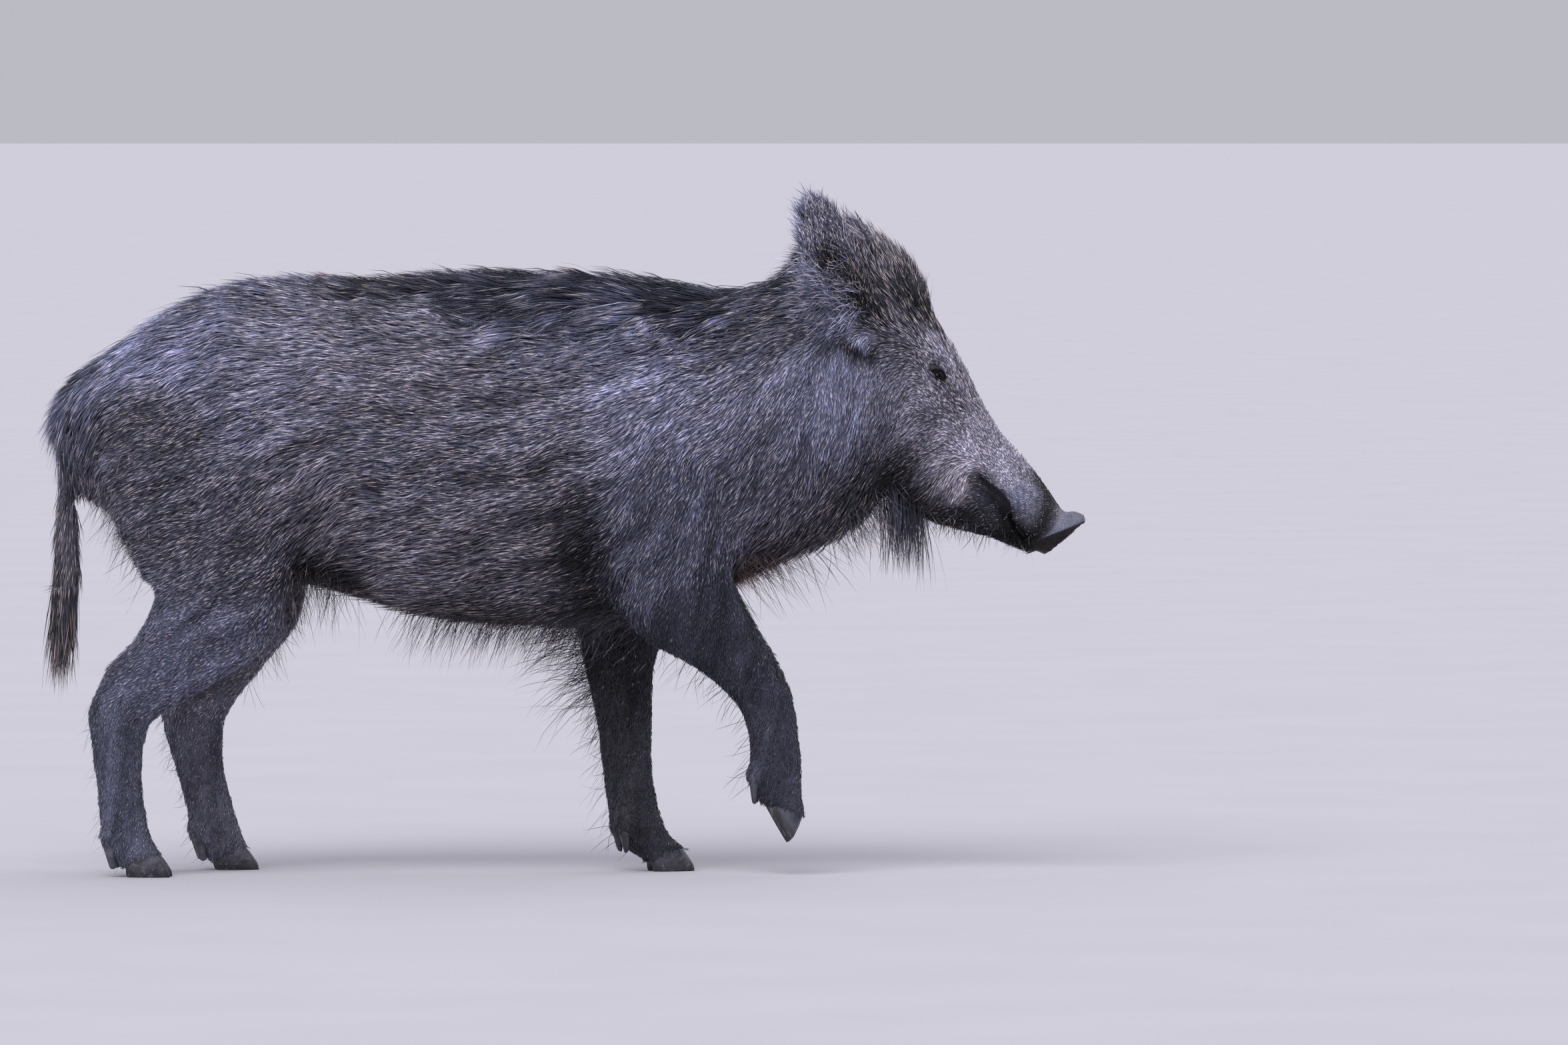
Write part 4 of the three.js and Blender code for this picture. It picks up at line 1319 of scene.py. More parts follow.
class Tree:
    """Adds and links the nodes of one material or node group."""

    def __init__(self, tree):
        self.tree = tree

    def add(self, kind, **settings):
        """A new node with some of its settings."""
        node = self.tree.nodes.new(kind)
        for key, value in settings.items():
            setattr(node, key, value)
        return node

    def put(self, socket, value):
        """Links an output to a socket, or sets its value."""
        if isinstance(value, bpy.types.NodeSocket):
            self.tree.links.new(value, socket)
        elif isinstance(value, tuple) and socket.type == "RGBA" and len(value) == 3:
            socket.default_value = (*value, 1)
        else:
            socket.default_value = value

    def math(self, operation, first, second=0.0, clamp=False):
        """One sum on two numbers."""
        node = self.add("ShaderNodeMath", operation=operation, use_clamp=clamp)
        self.put(node.inputs[0], first)
        self.put(node.inputs[1], second)
        return node.outputs[0]

    def mix(self, amount, first, second):
        """The first colour where the amount is 0 and the second where it is 1."""
        node = self.add("ShaderNodeMix", data_type="RGBA")
        self.put(node.inputs[0], amount)
        self.put(node.inputs[6], first)
        self.put(node.inputs[7], second)
        return node.outputs[2]

    def ramp(self, value, low, high, start=0.0, end=1.0):
        """start below low and end above high, with a soft change between them."""
        node = self.add("ShaderNodeMapRange", interpolation_type="SMOOTHSTEP")
        for socket, number in zip(node.inputs, (value, low, high, start, end)):
            self.put(socket, number)
        return node.outputs[0]

    def scaled(self, colour, factor):
        """A colour times a number."""
        node = self.add("ShaderNodeVectorMath", operation="SCALE")
        self.put(node.inputs[0], colour)
        self.put(node.inputs[3], factor)
        return node.outputs[0]

    def split(self, vector):
        """The three parts of a vector."""
        node = self.add("ShaderNodeSeparateXYZ")
        self.put(node.inputs[0], vector)
        return node.outputs

    def noise(self, vector, scale, detail=2.0):
        """Cloudy noise about 0.5."""
        node = self.add("ShaderNodeTexNoise")
        self.put(node.inputs["Vector"], vector)
        node.inputs["Scale"].default_value = scale
        node.inputs["Detail"].default_value = detail
        return node.outputs[0]

    def field(self, name):
        """A number or vector that the mesh carries."""
        return self.add("ShaderNodeAttribute", attribute_name=name)

    def relief(self, normal, height, distance, strength):
        """Feeds a height through a bump node into a shader's normal."""
        node = self.add("ShaderNodeBump")
        node.inputs["Distance"].default_value = distance
        node.inputs["Strength"].default_value = strength
        self.put(node.inputs["Height"], height)
        self.put(normal, node.outputs[0])


def new_group(name, inputs, outputs):
    """A shader node group with named sockets, its tree helper and its two end nodes."""
    group = bpy.data.node_groups.new(name, "ShaderNodeTree")
    for socket, kind in inputs.items():
        group.interface.new_socket(socket, in_out="INPUT", socket_type=kind)
    for socket, kind in outputs.items():
        group.interface.new_socket(socket, in_out="OUTPUT", socket_type=kind)
    tree = Tree(group)
    return group, tree, tree.add("NodeGroupInput").outputs, tree.add("NodeGroupOutput").inputs


VECTOR, FLOAT, COLOUR = "NodeSocketVector", "NodeSocketFloat", "NodeSocketColor"

WARM_GREY = (1.10, 1.0, 1.14)
# The cool grey is partly a painted bluish sheen of the sky.
COOL_GREY_AND_SHEEN = (0.90, 1.0, 1.60)
BROWN = (1.75, 1.05, 0.85)
PALE_TIP = (0.95, 0.79, 0.71)
BRIGHT = 3.4            # how much lighter than its tuft a pale tip is, before it turns to PALE_TIP


def coat_group():
    """The coat's colour from a tuft's place, how far along it is, its chance and its markings, painted
    darker towards the root as shade.
    """
    inputs = {"Place": VECTOR, "Along": FLOAT, "Chance": VECTOR, "Marks": VECTOR}
    outputs = {"Color": COLOUR, "Roughness": FLOAT, "Height": FLOAT}
    group, tree, given, result = new_group("coat colour", inputs, outputs)
    light, flecks, blueness_and_sheen = tree.split(given["Marks"])
    tone, draw, warmth = tree.split(given["Chance"])
    own = tree.math("MULTIPLY", tree.math("SUBTRACT", warmth, 0.5), 0.5)
    cool = tree.math("ADD", blueness_and_sheen, own, clamp=True)
    # The grey turns bluish with the third mark, which is partly a painted sky sheen.
    hue = tree.mix(cool, WARM_GREY, COOL_GREY_AND_SHEEN)
    hue = tree.mix(tree.ramp(blueness_and_sheen, -1.0, 0.0, 1.0, 0.0), hue, BROWN)
    grain = tree.noise(given["Place"], 160.0)
    clouds = tree.ramp(grain, 0.3, 0.7, 0.86, 1.14)
    gain = tree.math("MULTIPLY", tree.ramp(tone, 0, 1, 0.86, 1.14), clouds)
    # Painted shade: a tuft is darker towards its root, as down in the coat where little light reaches.
    depth = tree.ramp(given["Along"], 0.0, 0.75, 0.64, 1.1)
    body = tree.scaled(hue, tree.math("MULTIPLY", light, tree.math("MULTIPLY", gain, depth)))
    bright = tree.scaled(hue, tree.math("MULTIPLY", light, BRIGHT))
    tip = tree.mix(0.56, bright, PALE_TIP)
    is_pale = tree.math("LESS_THAN", draw, flecks)
    share = tree.math("MULTIPLY", is_pale, tree.ramp(given["Along"], 0.5, 0.66, 0.0, 0.97))
    tree.put(result["Color"], tree.mix(share, body, tip))
    tree.put(result["Roughness"], tree.ramp(tone, 0, 1, 0.58, 0.42))
    tree.put(result["Height"], tree.noise(given["Place"], 420.0, 3.0))
    return group


def new_material(name):
    """An empty material, its tree helper and its shader's inputs."""
    material = bpy.data.materials.new(name)
    material.use_nodes = True
    tree = Tree(material.node_tree)
    shader = material.node_tree.nodes["Principled BSDF"]
    return material, tree, shader.inputs


def placed_coat(tree, group):
    """The coat group with the fields of the mesh put into it."""
    node = tree.add("ShaderNodeGroup", node_tree=group)
    tree.put(node.inputs["Place"], tree.field("place").outputs["Vector"])
    tree.put(node.inputs["Along"], tree.field("along").outputs["Fac"])
    tree.put(node.inputs["Chance"], tree.field("chance").outputs["Vector"])
    tree.put(node.inputs["Marks"], tree.field("marks").outputs["Vector"])
    return node.outputs


def coat_material(name, group):
    """The finish of the tufts."""
    material, tree, shader = new_material(name)
    coat = placed_coat(tree, group)
    tree.put(shader["Base Color"], coat["Color"])
    tree.put(shader["Roughness"], coat["Roughness"])
    shader["Specular IOR Level"].default_value = 0.35
    return material


# The disc: its upper side painted pale bluish as lit by the sky; its front and underside dark, partly its
# own skin and partly painted shade.
NOSE_SKIN_LIT = (0.24, 0.25, 0.34)
NOSE_FACE_SHADED = (0.016, 0.012, 0.015)
DARK_SKIN = (0.006, 0.005, 0.006)


def skin_material(group):
    """Skin under the coat, which turns to bare leathery skin on the nose and to dark rims; the nose's
    upper side is painted lit and its front and underside painted in shade.
    """
    material, tree, shader = new_material("skin")
    coat = placed_coat(tree, group)
    place = tree.field("place").outputs["Vector"]
    bare_share = tree.field("bare").outputs["Fac"]
    dark_share = tree.field("dark").outputs["Fac"]
    cells = tree.add("ShaderNodeTexVoronoi", feature="DISTANCE_TO_EDGE")
    tree.put(cells.inputs["Vector"], place)
    cells.inputs["Scale"].default_value = 420.0
    pore = tree.ramp(cells.outputs[0], 0.0, 0.25)
    blotch = tree.ramp(tree.noise(place, 60.0), 0.3, 0.7, 0.8, 1.2)
    hue = tree.mix(tree.field("nose_face_shaded").outputs["Fac"], NOSE_SKIN_LIT, NOSE_FACE_SHADED)
    nose = tree.scaled(hue, tree.math("MULTIPLY", blotch, tree.ramp(pore, 0, 1, 0.55, 1.0)))
    shown = tree.mix(bare_share, coat["Color"], nose)
    tree.put(shader["Base Color"], tree.mix(dark_share, shown, DARK_SKIN))
    wet = tree.math("MAXIMUM", bare_share, dark_share)
    rough = tree.math("SUBTRACT", coat["Roughness"], tree.math("MULTIPLY", wet, 0.1))
    tree.put(shader["Roughness"], rough)
    hairs = tree.math("MULTIPLY", coat["Height"], tree.math("SUBTRACT", 1.0, wet))
    height = tree.math("ADD", hairs, tree.math("MULTIPLY", pore, bare_share))
    tree.relief(shader["Normal"], height, 0.0008, 0.8)
    shader["Specular IOR Level"].default_value = 0.25
    return material


IRIS = (0.021, 0.011, 0.009)
PUPIL = (0.0015, 0.0015, 0.002)
SCLERA = (0.012, 0.009, 0.010)


def eye_material():
    """A dark oval pupil in a brown iris, with a dark sclera round it, all wet."""
    material, tree, shader = new_material("eye")
    level = tree.field("iris").outputs["Fac"]
    place = tree.field("fibre").outputs["Vector"]
    fibre = tree.ramp(tree.noise(place, 5.0, 3.0), 0.3, 0.7, 0.6, 1.5)
    seen = tree.mix(tree.ramp(level, 0.94, 1.06), PUPIL, tree.scaled(IRIS, fibre))
    seen = tree.mix(tree.ramp(level, 1.42, 1.56), seen, SCLERA)
    tree.put(shader["Base Color"], seen)
    shader["Roughness"].default_value = 0.05
    shader["Specular IOR Level"].default_value = 0.15
    return material


HOOF_EDGE = (0.030, 0.028, 0.036)
HOOF_TOP_HIGHLIT = (0.082, 0.084, 0.112)
DRIED_MUD = (0.125, 0.115, 0.13)


def horn_material():
    """Hoof horn: dark at the sole, paler bluish grey higher up as partly painted highlight, scratched
    along its fibres, ringed, with worn blotches and dried mud.
    """
    material, tree, shader = new_material("horn")
    place = tree.field("horn").outputs["Vector"]
    _, _, height = tree.split(place)
    rings = tree.math("SINE", tree.math("MULTIPLY", height, 1.1))
    stretched = tree.add("ShaderNodeVectorMath", operation="MULTIPLY")
    tree.put(stretched.inputs[0], place)
    stretched.inputs[1].default_value = (1.0, 1.0, 0.08)
    fibres = tree.noise(stretched.outputs[0], 0.6, 2.0)
    blotch = tree.noise(place, 0.07, 3.0)
    worn = tree.ramp(blotch, 0.35, 0.65, 0.55, 1.35)
    tone = tree.math("MULTIPLY", tree.ramp(fibres, 0.3, 0.7, 0.86, 1.14), worn)
    # Darker at the sole, paler bluish grey higher up: partly the horn's own grey, partly a painted
    # highlight on the upper wall.
    colour = tree.mix(tree.ramp(height, 4.0, 30.0), HOOF_EDGE, HOOF_TOP_HIGHLIT)
    dried = tree.ramp(tree.noise(place, 0.16, 4.0), 0.56, 0.66, 0.0, 0.7)
    tree.put(shader["Base Color"], tree.mix(dried, tree.scaled(colour, tone), DRIED_MUD))
    tree.put(shader["Roughness"], tree.ramp(fibres, 0.3, 0.7, 0.5, 0.38))
    height = tree.math("ADD", blotch, tree.math("MULTIPLY", rings, 0.12))
    tree.relief(shader["Normal"], height, 0.0004, 0.7)
    return material


FLOOR_GREY = (0.60, 0.585, 0.64)


def floor_material():
    """A plain grey floor, very slightly clouded."""
    material, tree, shader = new_material("floor")
    place = tree.add("ShaderNodeTexCoord").outputs["Object"]
    clouds = tree.ramp(tree.noise(place, 3.0), 0, 1, 0.97, 1.03)
    tree.put(shader["Base Color"], tree.scaled(FLOOR_GREY, clouds))
    shader["Roughness"].default_value = 0.9
    shader["Specular IOR Level"].default_value = 0.1
    return material


coat_colour = coat_group()
COAT = coat_material("coat", coat_colour)
LONG_HAIR = coat_material("long hair", coat_colour)
EYE = eye_material()
HORN = horn_material()

skin_piece.data.materials.append(skin_material(coat_colour))
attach(skin_piece, "root")
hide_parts(*FLESH)

# ------------------------------------------------------------------ eyes

# Radius; the cornea's edge (radians) and how far it bulges; the pupil's half width and half height;
# the rings of the ball's mesh, how much closer they lie in front, and its turns.
EYEBALL = {
    "radius": 11.2,
    "cornea": 0.62,
    "bulge": 1.1,
    "pupil": (6.2, 5.4),
    "rings": 56,
    "gather": 1.6,
    "turns": 48,
}


def make_eye(name):
    """An eyeball with a bulging cornea; its fields say where the iris and its fibres are."""
    centre, look, along, up = eye_frame(name)
    polar = math.pi * (np.arange(1, EYEBALL["rings"]) / EYEBALL["rings"]) ** EYEBALL["gather"]
    turn = 2 * math.pi * np.arange(EYEBALL["turns"]) / EYEBALL["turns"]
    polar, turn = (grid.ravel() for grid in np.meshgrid(polar, turn, indexing="ij"))
    polar = np.concatenate([[0], polar, [math.pi]])
    turn = np.concatenate([[0], turn, [0]])
    bulge = EYEBALL["bulge"] * np.clip(1 - (polar / EYEBALL["cornea"]) ** 2, 0, 1)
    radius = EYEBALL["radius"] + bulge
    u = radius * np.sin(polar) * np.cos(turn)
    v = radius * np.sin(polar) * np.sin(turn)
    w = radius * np.cos(polar)
    points = centre + (u[:, None] * along + v[:, None] * up + w[:, None] * look) * MM
    rows, turns = EYEBALL["rings"] - 1, EYEBALL["turns"]
    grid = 1 + np.arange(rows * turns).reshape(rows, turns)
    onward = np.roll(grid, -1, axis=1)
    first = np.stack([np.zeros(turns, int), grid[0], onward[0]], axis=1)
    last = np.stack([np.full(turns, rows * turns + 1), onward[-1], grid[-1]], axis=1)
    upper = np.stack([grid[:-1], grid[1:], onward[:-1]], axis=-1).reshape(-1, 3)
    lower = np.stack([onward[:-1], grid[1:], onward[1:]], axis=-1).reshape(-1, 3)
    faces = np.concatenate([first, upper, lower, last])
    if np.cross(along, up) @ look < 0:
        faces = faces[:, ::-1]
    piece = build_mesh(name + "_ball", points, faces)
    wide, high = EYEBALL["pupil"]
    level = np.where(w > 0, np.hypot(u / wide, v / high), 9.0)
    add_field(piece.data, "iris", level)
    fibre = np.stack([np.cos(turn) * 1.5, np.sin(turn) * 1.5, level * 0.25], axis=1)
    add_field(piece.data, "fibre", fibre)
    piece.data.materials.append(EYE)
    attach(piece, "root")
    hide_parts(name)


for eye_name in EYES:
    make_eye(eye_name)

# ------------------------------------------------------------------ hooves and dewclaws

HORN_GRID = 1.5         # spacing of a hoof's mesh
GROWTH = {"spacing": 6.0, "depth": 0.06, "wander": 1.5}     # the growth rings round the wall
SOLE = 1.4              # what faces down and lies lower than this is pressed flat, mm
# A dewclaw's rounded point: the length over which it narrows, how far past its tip that starts, how
# blunt its end stays and how round its outline is.
CLAW = {"length": 16, "past": 1.5, "blunt": 0.02, "round": 0.55}


def tapered(points, tip, way):
    """A dewclaw drawn in towards its point."""
    run = (points - tip) @ way
    aside = points - tip - way * run[:, None]
    share = np.clip((CLAW["past"] - run / MM) / CLAW["length"], CLAW["blunt"], 1) ** CLAW["round"]
    return points - aside * (1 - share)[:, None]


def make_horn(name):
    """A hoof or a dewclaw: the frame's own shape with rounded edges and growth rings."""
    points, _, triangles = node_arrays(name)
    sole, down = flat_face(name)
    mesh = remeshed(points, triangles, HORN_GRID)
    horn = new_object(name + "_horn", mesh)
    points = read(mesh.vertices, "co", 3).astype(float)
    points = soften(points, read(mesh.edges, "vertices", 2, np.int32), 16, 0.8)
    if name in DEWCLAWS:
        points = tapered(points, sole, down)
    mesh.calc_loop_triangles()
    normals = corner_normals(points, read(mesh.loop_triangles, "vertices", 3, np.int32))
    height = -((points - sole) @ down) / MM
    wall = 1 - np.clip(np.abs(normals @ down) * 1.3, 0, 1)
    turn = 2 * math.pi * height / GROWTH["spacing"] + GROWTH["wander"] * waves(points, 25, SEED + 8)
    points = points + normals * (GROWTH["depth"] * np.cos(turn) * wall * MM)[:, None]
    height = -((points - sole) @ down) / MM
    flat = (height < SOLE) & (normals @ down > 0.6) | (height < 0)
    points[flat] += down * (height[flat] * MM)[:, None]
    reshape(mesh, points)
    place = np.stack([points[:, 0] / MM, points[:, 1] / MM, np.maximum(height, 0)], axis=1)
    add_field(mesh, "horn", place)
    mesh.materials.append(HORN)
    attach(horn, "root")
    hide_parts(name)


for horn_name in HOOVES + DEWCLAWS:
    make_horn(horn_name)

# ------------------------------------------------------------------ the coat

haired = 1 - hairless
# How much of the coat is mane, and how much of the head's is soft long fur: both by its length.
maned = smooth_step(length_field, 38, 46)
furred = smooth_step(length_field, 19, 24)

# Where the trunk's coat is parted into pieces, from the rump to the neck.
PARTINGS = (-430, -260, -90, 70, 220)
PARTS = np.array(["rump", "loin", "flank", "ribs", "shoulder", "neck"])
# The ridge of the mane stands up a little and its sides hang: from where aside to where, mm.
MANE_SAG = {"ridge": 0.02, "side": 0.12, "aside": (15, 60)}


def body_names(roots):
    """Names the piece of each tuft on the trunk, by side and from the rump to the neck."""
    sides = np.where(roots.points[:, 1] < 0, "right", "left")
    names = PARTS[np.searchsorted(np.array(PARTINGS) * MM, roots.points[:, 0])]
    return np.array([f"coat_{side}_{part}" for side, part in zip(sides, names)])


def mane_names(roots):
    """Parts the mane in two over the middle of the back."""
    return np.where(roots.points[:, 0] < 0, "mane_rear", "mane_front")


def side_names(stem, roots):
    """Names the piece of each tuft after its side."""
    return np.where(roots.points[:, 1] < 0, stem + "_right", stem + "_left")


def leg_names(roots):
    """Names the piece of each tuft on a leg after its leg."""
    owner = np.array([f"coat_{'_'.join(name.split('_')[:2])}" for name in FLESH])
    return owner[roots.region]


# The coat, part by part: its tufts per square metre, and the number that its chances start from;
# how far its lie wanders (degrees, over how many mm) and how far each tuft's does by itself; how much
# length and angle vary; then how strongly and how wide apart its tufts gather in locks, how much the
# locks differ in shade, and the form and width of a tuft. What is left out comes from COAT_ROW.
COAT_ROW = {"swirl": None, "pull": 0.0, "cell": 14.0, "contrast": 0.12, "form": "lying"}
COATS = {
    "body": {
        "density": 86500, "chance": 1, "swirl": (9, 70), "scatter": 8, "vary": (0.22, 0.3),
        "pull": 0.15, "width": 1.5,
    },
    "mane": {
        "density": 120000, "chance": 2, "swirl": (14, 90), "scatter": 9, "vary": (0.25, 0.35),
        "pull": 0.6, "cell": 30, "contrast": 0.38, "form": "strand", "width": 1.5,
    },
    "crown": {
        "density": 186000, "chance": 7, "swirl": (12, 50), "scatter": 9, "vary": (0.3, 0.25),
        "pull": 0.4, "cell": 13, "contrast": 0.22, "form": "strand", "width": 1.35,
    },
    "face": {
        "density": 234000, "chance": 3, "swirl": (8, 40), "scatter": 10, "vary": (0.2, 0.25),
        "pull": 0.2, "cell": 7, "width": 1.05,
    },
    "limbs": {
        "density": 140000, "chance": 4, "swirl": (8, 50), "scatter": 9, "vary": (0.22, 0.3),
        "pull": 0.25, "cell": 9, "width": 1.25,
    },
    "ears": {
        "density": 220000, "chance": 5, "swirl": (12, 40), "scatter": 14, "vary": (0.3, 0.3),
        "width": 1.1,
    },
    "tail": {
        "density": 190000, "chance": 6, "scatter": 6, "vary": (0.25, 0.3),
        "pull": 0.3, "cell": 10, "form": "strand", "width": 1.1,
    },
}


def grow_coat(kind, nodes, share, names, material):
    """Grows one row of COATS on some nodes, as thick as `share` says, parted as `names` says."""
    row = COAT_ROW | COATS[kind]
    roots = Roots(row["density"] * in_nodes(*nodes) * haired * share, row["chance"])
    if row["swirl"]:
        roots.swirl(*row["swirl"])
    roots.scatter_lies(row["scatter"])
    roots.vary(*row["vary"])
    roots.gather(row)
    if kind == "mane":
        hanging = smooth_step(np.abs(roots.points[:, 1]) / MM, *MANE_SAG["aside"])
        roots.sag = MANE_SAG["side"] * hanging - MANE_SAG["ridge"]
    plant(roots, row["form"], row["width"], names(roots), material)


grow_coat("body", BODY + UPPER_LEGS, 1 - maned, body_names, COAT)
grow_coat("mane", BODY, maned, mane_names, LONG_HAIR)
grow_coat("crown", ["head"], furred, partial(side_names, "coat_crown"), COAT)
grow_coat("face", HEAD, 1 - furred, partial(side_names, "coat_face"), COAT)
grow_coat("limbs", LOWER_LEGS, 1.0, leg_names, COAT)
grow_coat("ears", EARS, 1.0, partial(side_names, "coat_ear"), COAT)
grow_coat("tail", ["tail"], 1.0, lambda roots: np.full(roots.count, "coat_tail"), COAT)

# ------------------------------------------------------------------ long hair

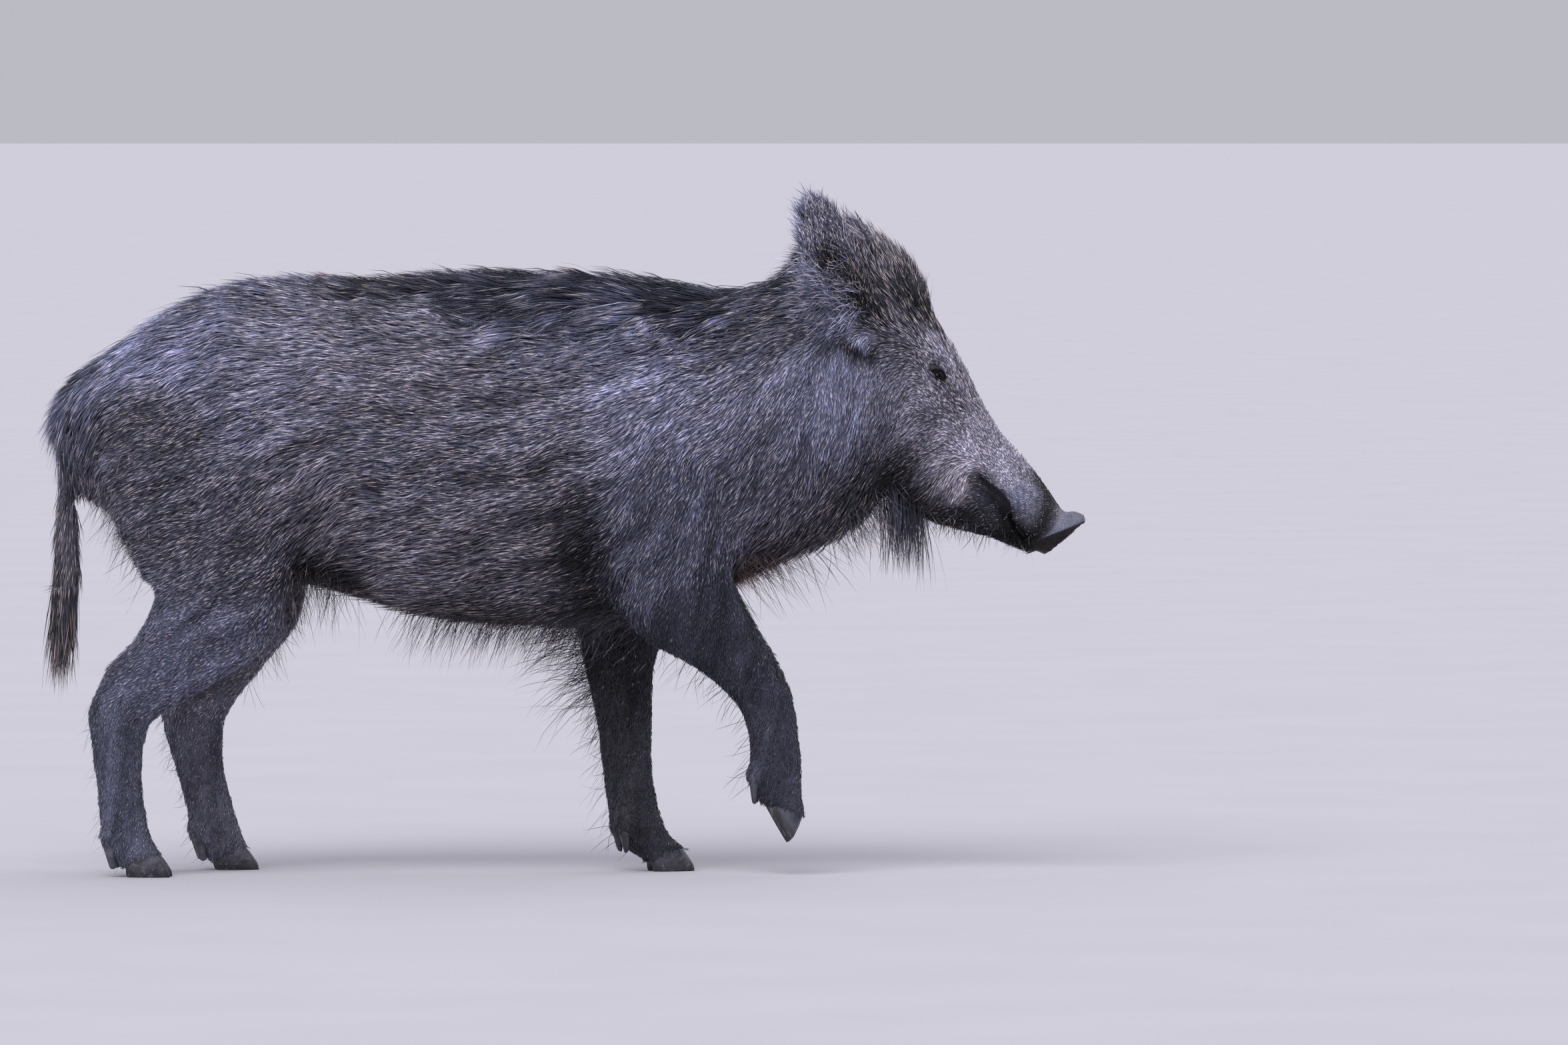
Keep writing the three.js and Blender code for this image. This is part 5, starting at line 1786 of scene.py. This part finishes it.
# Where it grows (a soft ellipsoid, on both sides of the body), how densely, and which way it hangs or
# stands; then its length, the width of a hair and its markings, whose bluish tint is partly a painted
# sky sheen. What is left out comes from LOCK_ROW: the nodes that it grows on, how much it sags, and how
# its hairs gather in locks; the least angle that it leaves the skin at; `facing` keeps it to the skin
# that faces one way; `spread` is how much its length varies, and `marked` how much of the skin's small
# markings and painted shades it takes.
LOCK_ROW = {
    "nodes": FLESH,
    "sag": 0.3,
    "pull": 0.3,
    "cell": 18,
    "least": 18,
    "facing": None,
    "form": "lock",
    "spread": 0.28,
    "marked": 0,
    "curl": 0.3,
    "scatter": 14,
    "contrast": 0.3,
}
THINNEST = 0.12         # long hair stops where it would be thinner than this share of its density
LOCKS = {
    "crown_tufts": {
        "at": (398, 0, 828), "reach": (52, 56, 50), "density": 60000, "way": (-0.55, 0.1, 0.84),
        "length": 32, "width": 0.9, "marks": (90, 0.5, 0.6), "nodes": HEAD + ["neck"],
        "sag": 0.0, "least": 30,
    },
    "forelock": {
        "at": (452, 0, 800), "reach": (46, 50, 60), "density": 50000, "way": (-0.4, 0.08, 0.92),
        "length": 32, "width": 0.9, "marks": (84, 0.5, 0.45), "nodes": HEAD,
        "sag": 0.0, "pull": 0.25, "least": 26,
    },
    "ear_rear_hair": {
        "at": (325, 75, 800), "reach": (60, 60, 120), "density": 240000, "way": (-0.62, 0.05, 0.78),
        "length": 27, "width": 0.9, "marks": (106, 0.42, 1.0), "nodes": EARS,
        "sag": 0.0, "least": 16, "facing": (-1, 0, 0.25), "form": "strand",
    },
    "ear_front_hair": {
        "at": (395, 75, 800), "reach": (60, 60, 110), "density": 150000, "way": (-0.5, 0.2, 0.84),
        "length": 30, "width": 0.9, "marks": (88, 0.4, 0.5), "nodes": EARS,
        "sag": 0.0, "least": 16, "facing": (1, 0, 0.2), "form": "strand", "marked": 1,
    },
    "ear_inner_hair": {
        "at": (384, 75, 776), "reach": (40, 60, 66), "density": 34000, "way": (-0.74, 0.2, 0.62),
        "length": 42, "width": 0.65, "marks": (112, 0.6, 0.5), "nodes": EARS, "marked": 0.6,
        "sag": 0.05, "pull": 0.15, "least": 9, "facing": (0.2, 1, 0), "curl": 0.2, "scatter": 11,
    },
    "ear_sweep_hair": {
        "at": (350, 92, 772), "reach": (50, 45, 34), "density": 90000, "way": (-0.95, 0.15, 0.18),
        "length": 40, "width": 0.8, "marks": (106, 0.5, 0.8), "nodes": EARS + ["neck"],
        "sag": 0.1, "least": 12,
    },
    "ear_base_hair": {
        "at": (346, 92, 736), "reach": (40, 42, 28), "density": 90000, "way": (-0.88, 0.12, -0.36),
        "length": 38, "width": 0.8, "marks": (104, 0.5, 0.9), "least": 12, "curl": 0.2,
    },
    "eyelashes": {
        "at": (489, 52, 669), "reach": (15, 14, 7), "density": 200000, "way": (0.5, 0.85, 0.05),
        "length": 9, "width": 0.32, "marks": (22, 0.0, 0.4), "nodes": HEAD,
        "sag": 0.2, "pull": 0.0, "least": 30, "scatter": 16,
    },
    "beard": {
        "at": (445, 0, 500), "reach": (25, 30, 30), "density": 190000, "way": (0.03, 0.1, -1.0),
        "length": 84, "width": 0.85, "marks": (60, 0.2, 0.6), "nodes": HEAD + ["neck"],
        "pull": 0.4, "cell": 22, "least": 20, "spread": 0.45, "curl": 0.2,
    },
    "throat_hair": {
        "at": (395, 0, 485), "reach": (56, 44, 38), "density": 60000, "way": (0.45, 0.15, -0.9),
        "length": 48, "width": 0.65, "marks": (84, 0.42, 0.15), "nodes": ["neck"] + HEAD, "pull": 0.12,
        "spread": 0.5, "curl": 0.5, "scatter": 24,
    },
    "chin_whiskers": {
        "at": (580, 0, 450), "reach": (60, 44, 30), "density": 16000, "way": (-0.25, 0.25, -0.95),
        "length": 17, "width": 0.4, "marks": (92, 0.4, 0.5), "nodes": ["lower_jaw", "head"], "pull": 0.0,
        "spread": 0.5, "curl": 0.5, "scatter": 30,
    },
    "jaw_hair": {
        "at": (500, 0, 470), "reach": (50, 44, 32), "density": 34000, "way": (-0.4, 0.15, -0.9),
        "length": 22, "width": 0.6, "marks": (64, 0.35, 0.3), "nodes": ["lower_jaw", "head"], "pull": 0.1,
        "spread": 0.5, "curl": 0.5, "scatter": 28,
    },
    "brisket_hair": {
        "at": (268, 0, 412), "reach": (80, 54, 40), "density": 24000, "way": (0.72, 0.1, -0.72),
        "length": 62, "width": 0.55, "marks": (78, 0.35, 0.1), "nodes": BODY, "pull": 0.1, "spread": 0.5,
        "curl": 0.4, "scatter": 22, "sag": 0.2,
    },
    "armpit_hair": {
        "at": (252, 40, 396), "reach": (38, 60, 26), "density": 150000, "way": (0.75, 0.1, -0.5),
        "length": 26, "width": 0.7, "marks": (84, 0.3, -0.9), "nodes": BODY, "pull": 0.2, "spread": 0.5,
        "curl": 0.6, "scatter": 30,
    },
    "belly_hair": {
        "at": (-100, 26, 338), "reach": (150, 40, 22), "density": 46000, "way": (-0.62, 0.2, -0.8),
        "length": 58, "width": 0.65, "marks": (66, 0.3, 0.2), "nodes": BODY, "pull": 0.2, "least": 14,
        "spread": 0.5, "curl": 0.4, "scatter": 20,
    },
    "elbow_hair": {
        "at": (52, 70, 322), "reach": (40, 44, 80), "density": 40000, "way": (-1.0, 0.1, -0.08),
        "length": 84, "width": 0.65, "marks": (42, 0.1, 0.5), "pull": 0.35, "cell": 26, "least": 14,
        "sag": 0.32, "spread": 0.45, "curl": 0.4, "scatter": 18,
    },
    "groin_hair": {
        "at": (-335, 62, 392), "reach": (44, 50, 32), "density": 36000, "way": (0.12, 0.1, -1.0),
        "length": 60, "width": 0.6, "marks": (60, 0.25, 0.1), "pull": 0.15, "least": 16, "spread": 0.5,
        "curl": 0.5, "scatter": 22,
    },
    "stifle_hair": {
        "at": (-400, 110, 330), "reach": (36, 60, 70), "density": 20000, "way": (0.15, 0.1, -1.0),
        "length": 38, "width": 0.5, "marks": (66, 0.25, 0.1), "pull": 0.1, "facing": (1, 0, 0),
        "spread": 0.5, "curl": 0.6, "scatter": 24,
    },
    "ham_hair": {
        "at": (-600, 85, 470), "reach": (50, 56, 100), "density": 30000, "way": (-0.5, 0.1, -0.85),
        "length": 42, "width": 0.55, "marks": (84, 0.35, 0.5), "pull": 0.15, "facing": (-1, 0, 0),
        "spread": 0.5, "curl": 0.5, "scatter": 20,
    },
    "tail_root_hair": {
        "at": (-655, 0, 640), "reach": (26, 36, 50), "density": 110000, "way": (-0.16, 0.08, -1.0),
        "length": 60, "width": 0.9, "marks": (100, 0.35, 0.95), "least": 10,
    },
    "tail_tuft_hair": {
        "at": (-666, 0, 410), "reach": (22, 22, 52), "density": 540000, "way": (-0.1, 0.0, -1.0),
        "length": 120, "width": 1.1, "marks": (62, 0.3, 0.15), "nodes": ["tail"], "pull": 0.5,
        "cell": 60, "least": 3, "spread": 0.34, "curl": 0.12, "scatter": 4,
    },
    "shank_hair": {
        "at": (-530, 60, 190), "reach": (110, 90, 150), "density": 14000, "way": (-0.6, 0, -0.8),
        "length": 22, "width": 0.42, "marks": (72, 0.3, 0.6), "nodes": LOWER_LEGS, "pull": 0.1,
        "facing": (-1, 0, 0), "spread": 0.55, "curl": 0.6, "scatter": 30,
    },
    "forearm_hair": {
        "at": (80, 60, 220), "reach": (140, 90, 130), "density": 26000, "way": (-0.7, 0, -0.7),
        "length": 36, "width": 0.5, "marks": (44, 0.1, 0.5), "nodes": LOWER_LEGS, "pull": 0.25,
        "facing": (-1, 0, 0), "spread": 0.55, "curl": 0.5, "scatter": 26,
    },
}


def where_locks_grow(lock):
    """How much of one kind of long hair grows at each vertex of the skin."""
    near = bump(offset(skin.points / MM, lock["at"], lock["reach"]), 1)
    near = np.where(near > THINNEST, near, 0) * in_nodes(*lock["nodes"]) * haired
    if lock["facing"]:
        across = np.where(skin.points[:, 1] < 0, -1.0, 1.0) * skin.normals[:, 1]
        outward = np.stack([skin.normals[:, 0], across, skin.normals[:, 2]], axis=1)
        facing = unit(np.array(lock["facing"], float))
        near = near * smooth_step(outward @ facing, 0.15, 0.6)
    return near


def grow_locks():
    """All the long hair of the table, each kind in its own piece on each side."""
    grown = {}
    for number, (name, row) in enumerate(LOCKS.items()):
        lock = LOCK_ROW | row
        roots = Roots(lock["density"] * where_locks_grow(lock), 20 + number)
        roots.aim(lock["way"], lock["least"])
        roots.lengths = np.full(roots.count, float(lock["length"]))
        roots.scatter_lies(lock["scatter"])
        roots.vary(lock["spread"], 0.2)
        roots.bends = roots.rng.normal(0, lock["curl"], roots.count)
        roots.sag = lock["sag"]
        roots.gather(lock)
        roots.marks = np.tile(np.array(lock["marks"], float), (roots.count, 1))
        roots.marks[:, 0] *= mixed(1, roots.at(marked_and_shaded_field), lock["marked"])
        names = side_names(name, roots)
        grown |= plant(roots, lock["form"], lock["width"], names, LONG_HAIR)
    return grown


hair = grow_locks()
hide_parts("crown_hair")
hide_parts("throat_beard")
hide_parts("belly_fringe")
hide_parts("tail_tuft")

# ------------------------------------------------------------------ camera, light and floor

CAMERA = {"lens": 300, "sensor": 36, "distance": 17.25, "elevation": 1.8, "at": (0.287, 0, 0.463)}
FLOOR_REACH = 400.0
FLOOR_CORNERS = 96
SKY = (0.495, 0.495, 0.545, 1)


def place_camera():
    """A far camera with a long lens, level with the animal."""
    data = bpy.data.cameras.new("camera")
    data.lens = CAMERA["lens"]
    data.sensor_width = CAMERA["sensor"]
    data.clip_end = 3 * FLOOR_REACH
    camera = new_object("camera", data)
    tilt = math.radians(CAMERA["elevation"])
    away = Vector((0, -math.cos(tilt), math.sin(tilt))) * CAMERA["distance"]
    camera.location = Vector(CAMERA["at"]) + away
    camera.rotation_euler = (math.pi / 2 - tilt, 0, 0)
    bpy.context.scene.camera = camera


# Name: direction that the light comes from, strength, angle of the source in degrees, colour.
LIGHTS = {
    "key": ((-0.3, -0.75, 0.9), 1.8, 45, (1.0, 0.995, 1.0)),
    "fill": ((0.8, 0.5, 0.7), 0.7, 70, (0.98, 0.98, 1.0)),
}


def place_lights():
    """Two soft suns and an even sky."""
    for name, (way, strength, angle, colour) in LIGHTS.items():
        data = bpy.data.lights.new(name, "SUN")
        data.energy = strength
        data.angle = math.radians(angle)
        data.color = colour
        light = new_object(name, data)
        light.rotation_euler = Vector(way).to_track_quat("Z", "Y").to_euler()
    world = bpy.data.worlds.new("studio")
    world.use_nodes = True
    sky = world.node_tree.nodes["Background"].inputs
    sky["Color"].default_value = SKY
    sky["Strength"].default_value = 1.0
    bpy.context.scene.world = world
    bpy.context.scene.view_settings.view_transform = "Standard"


def make_floor():
    """A wide round floor."""
    turn = 2 * math.pi * np.arange(FLOOR_CORNERS) / FLOOR_CORNERS
    rim = np.stack([np.cos(turn), np.sin(turn), np.zeros(FLOOR_CORNERS)], axis=1) * FLOOR_REACH
    points = np.concatenate([[(0, 0, 0)], rim])
    around = 1 + np.arange(FLOOR_CORNERS)
    faces = np.stack([np.zeros(FLOOR_CORNERS, int), around, np.roll(around, -1)], axis=1)
    floor = build_mesh("floor", points, faces)
    floor.data.materials.append(floor_material())


place_camera()
place_lights()
make_floor()
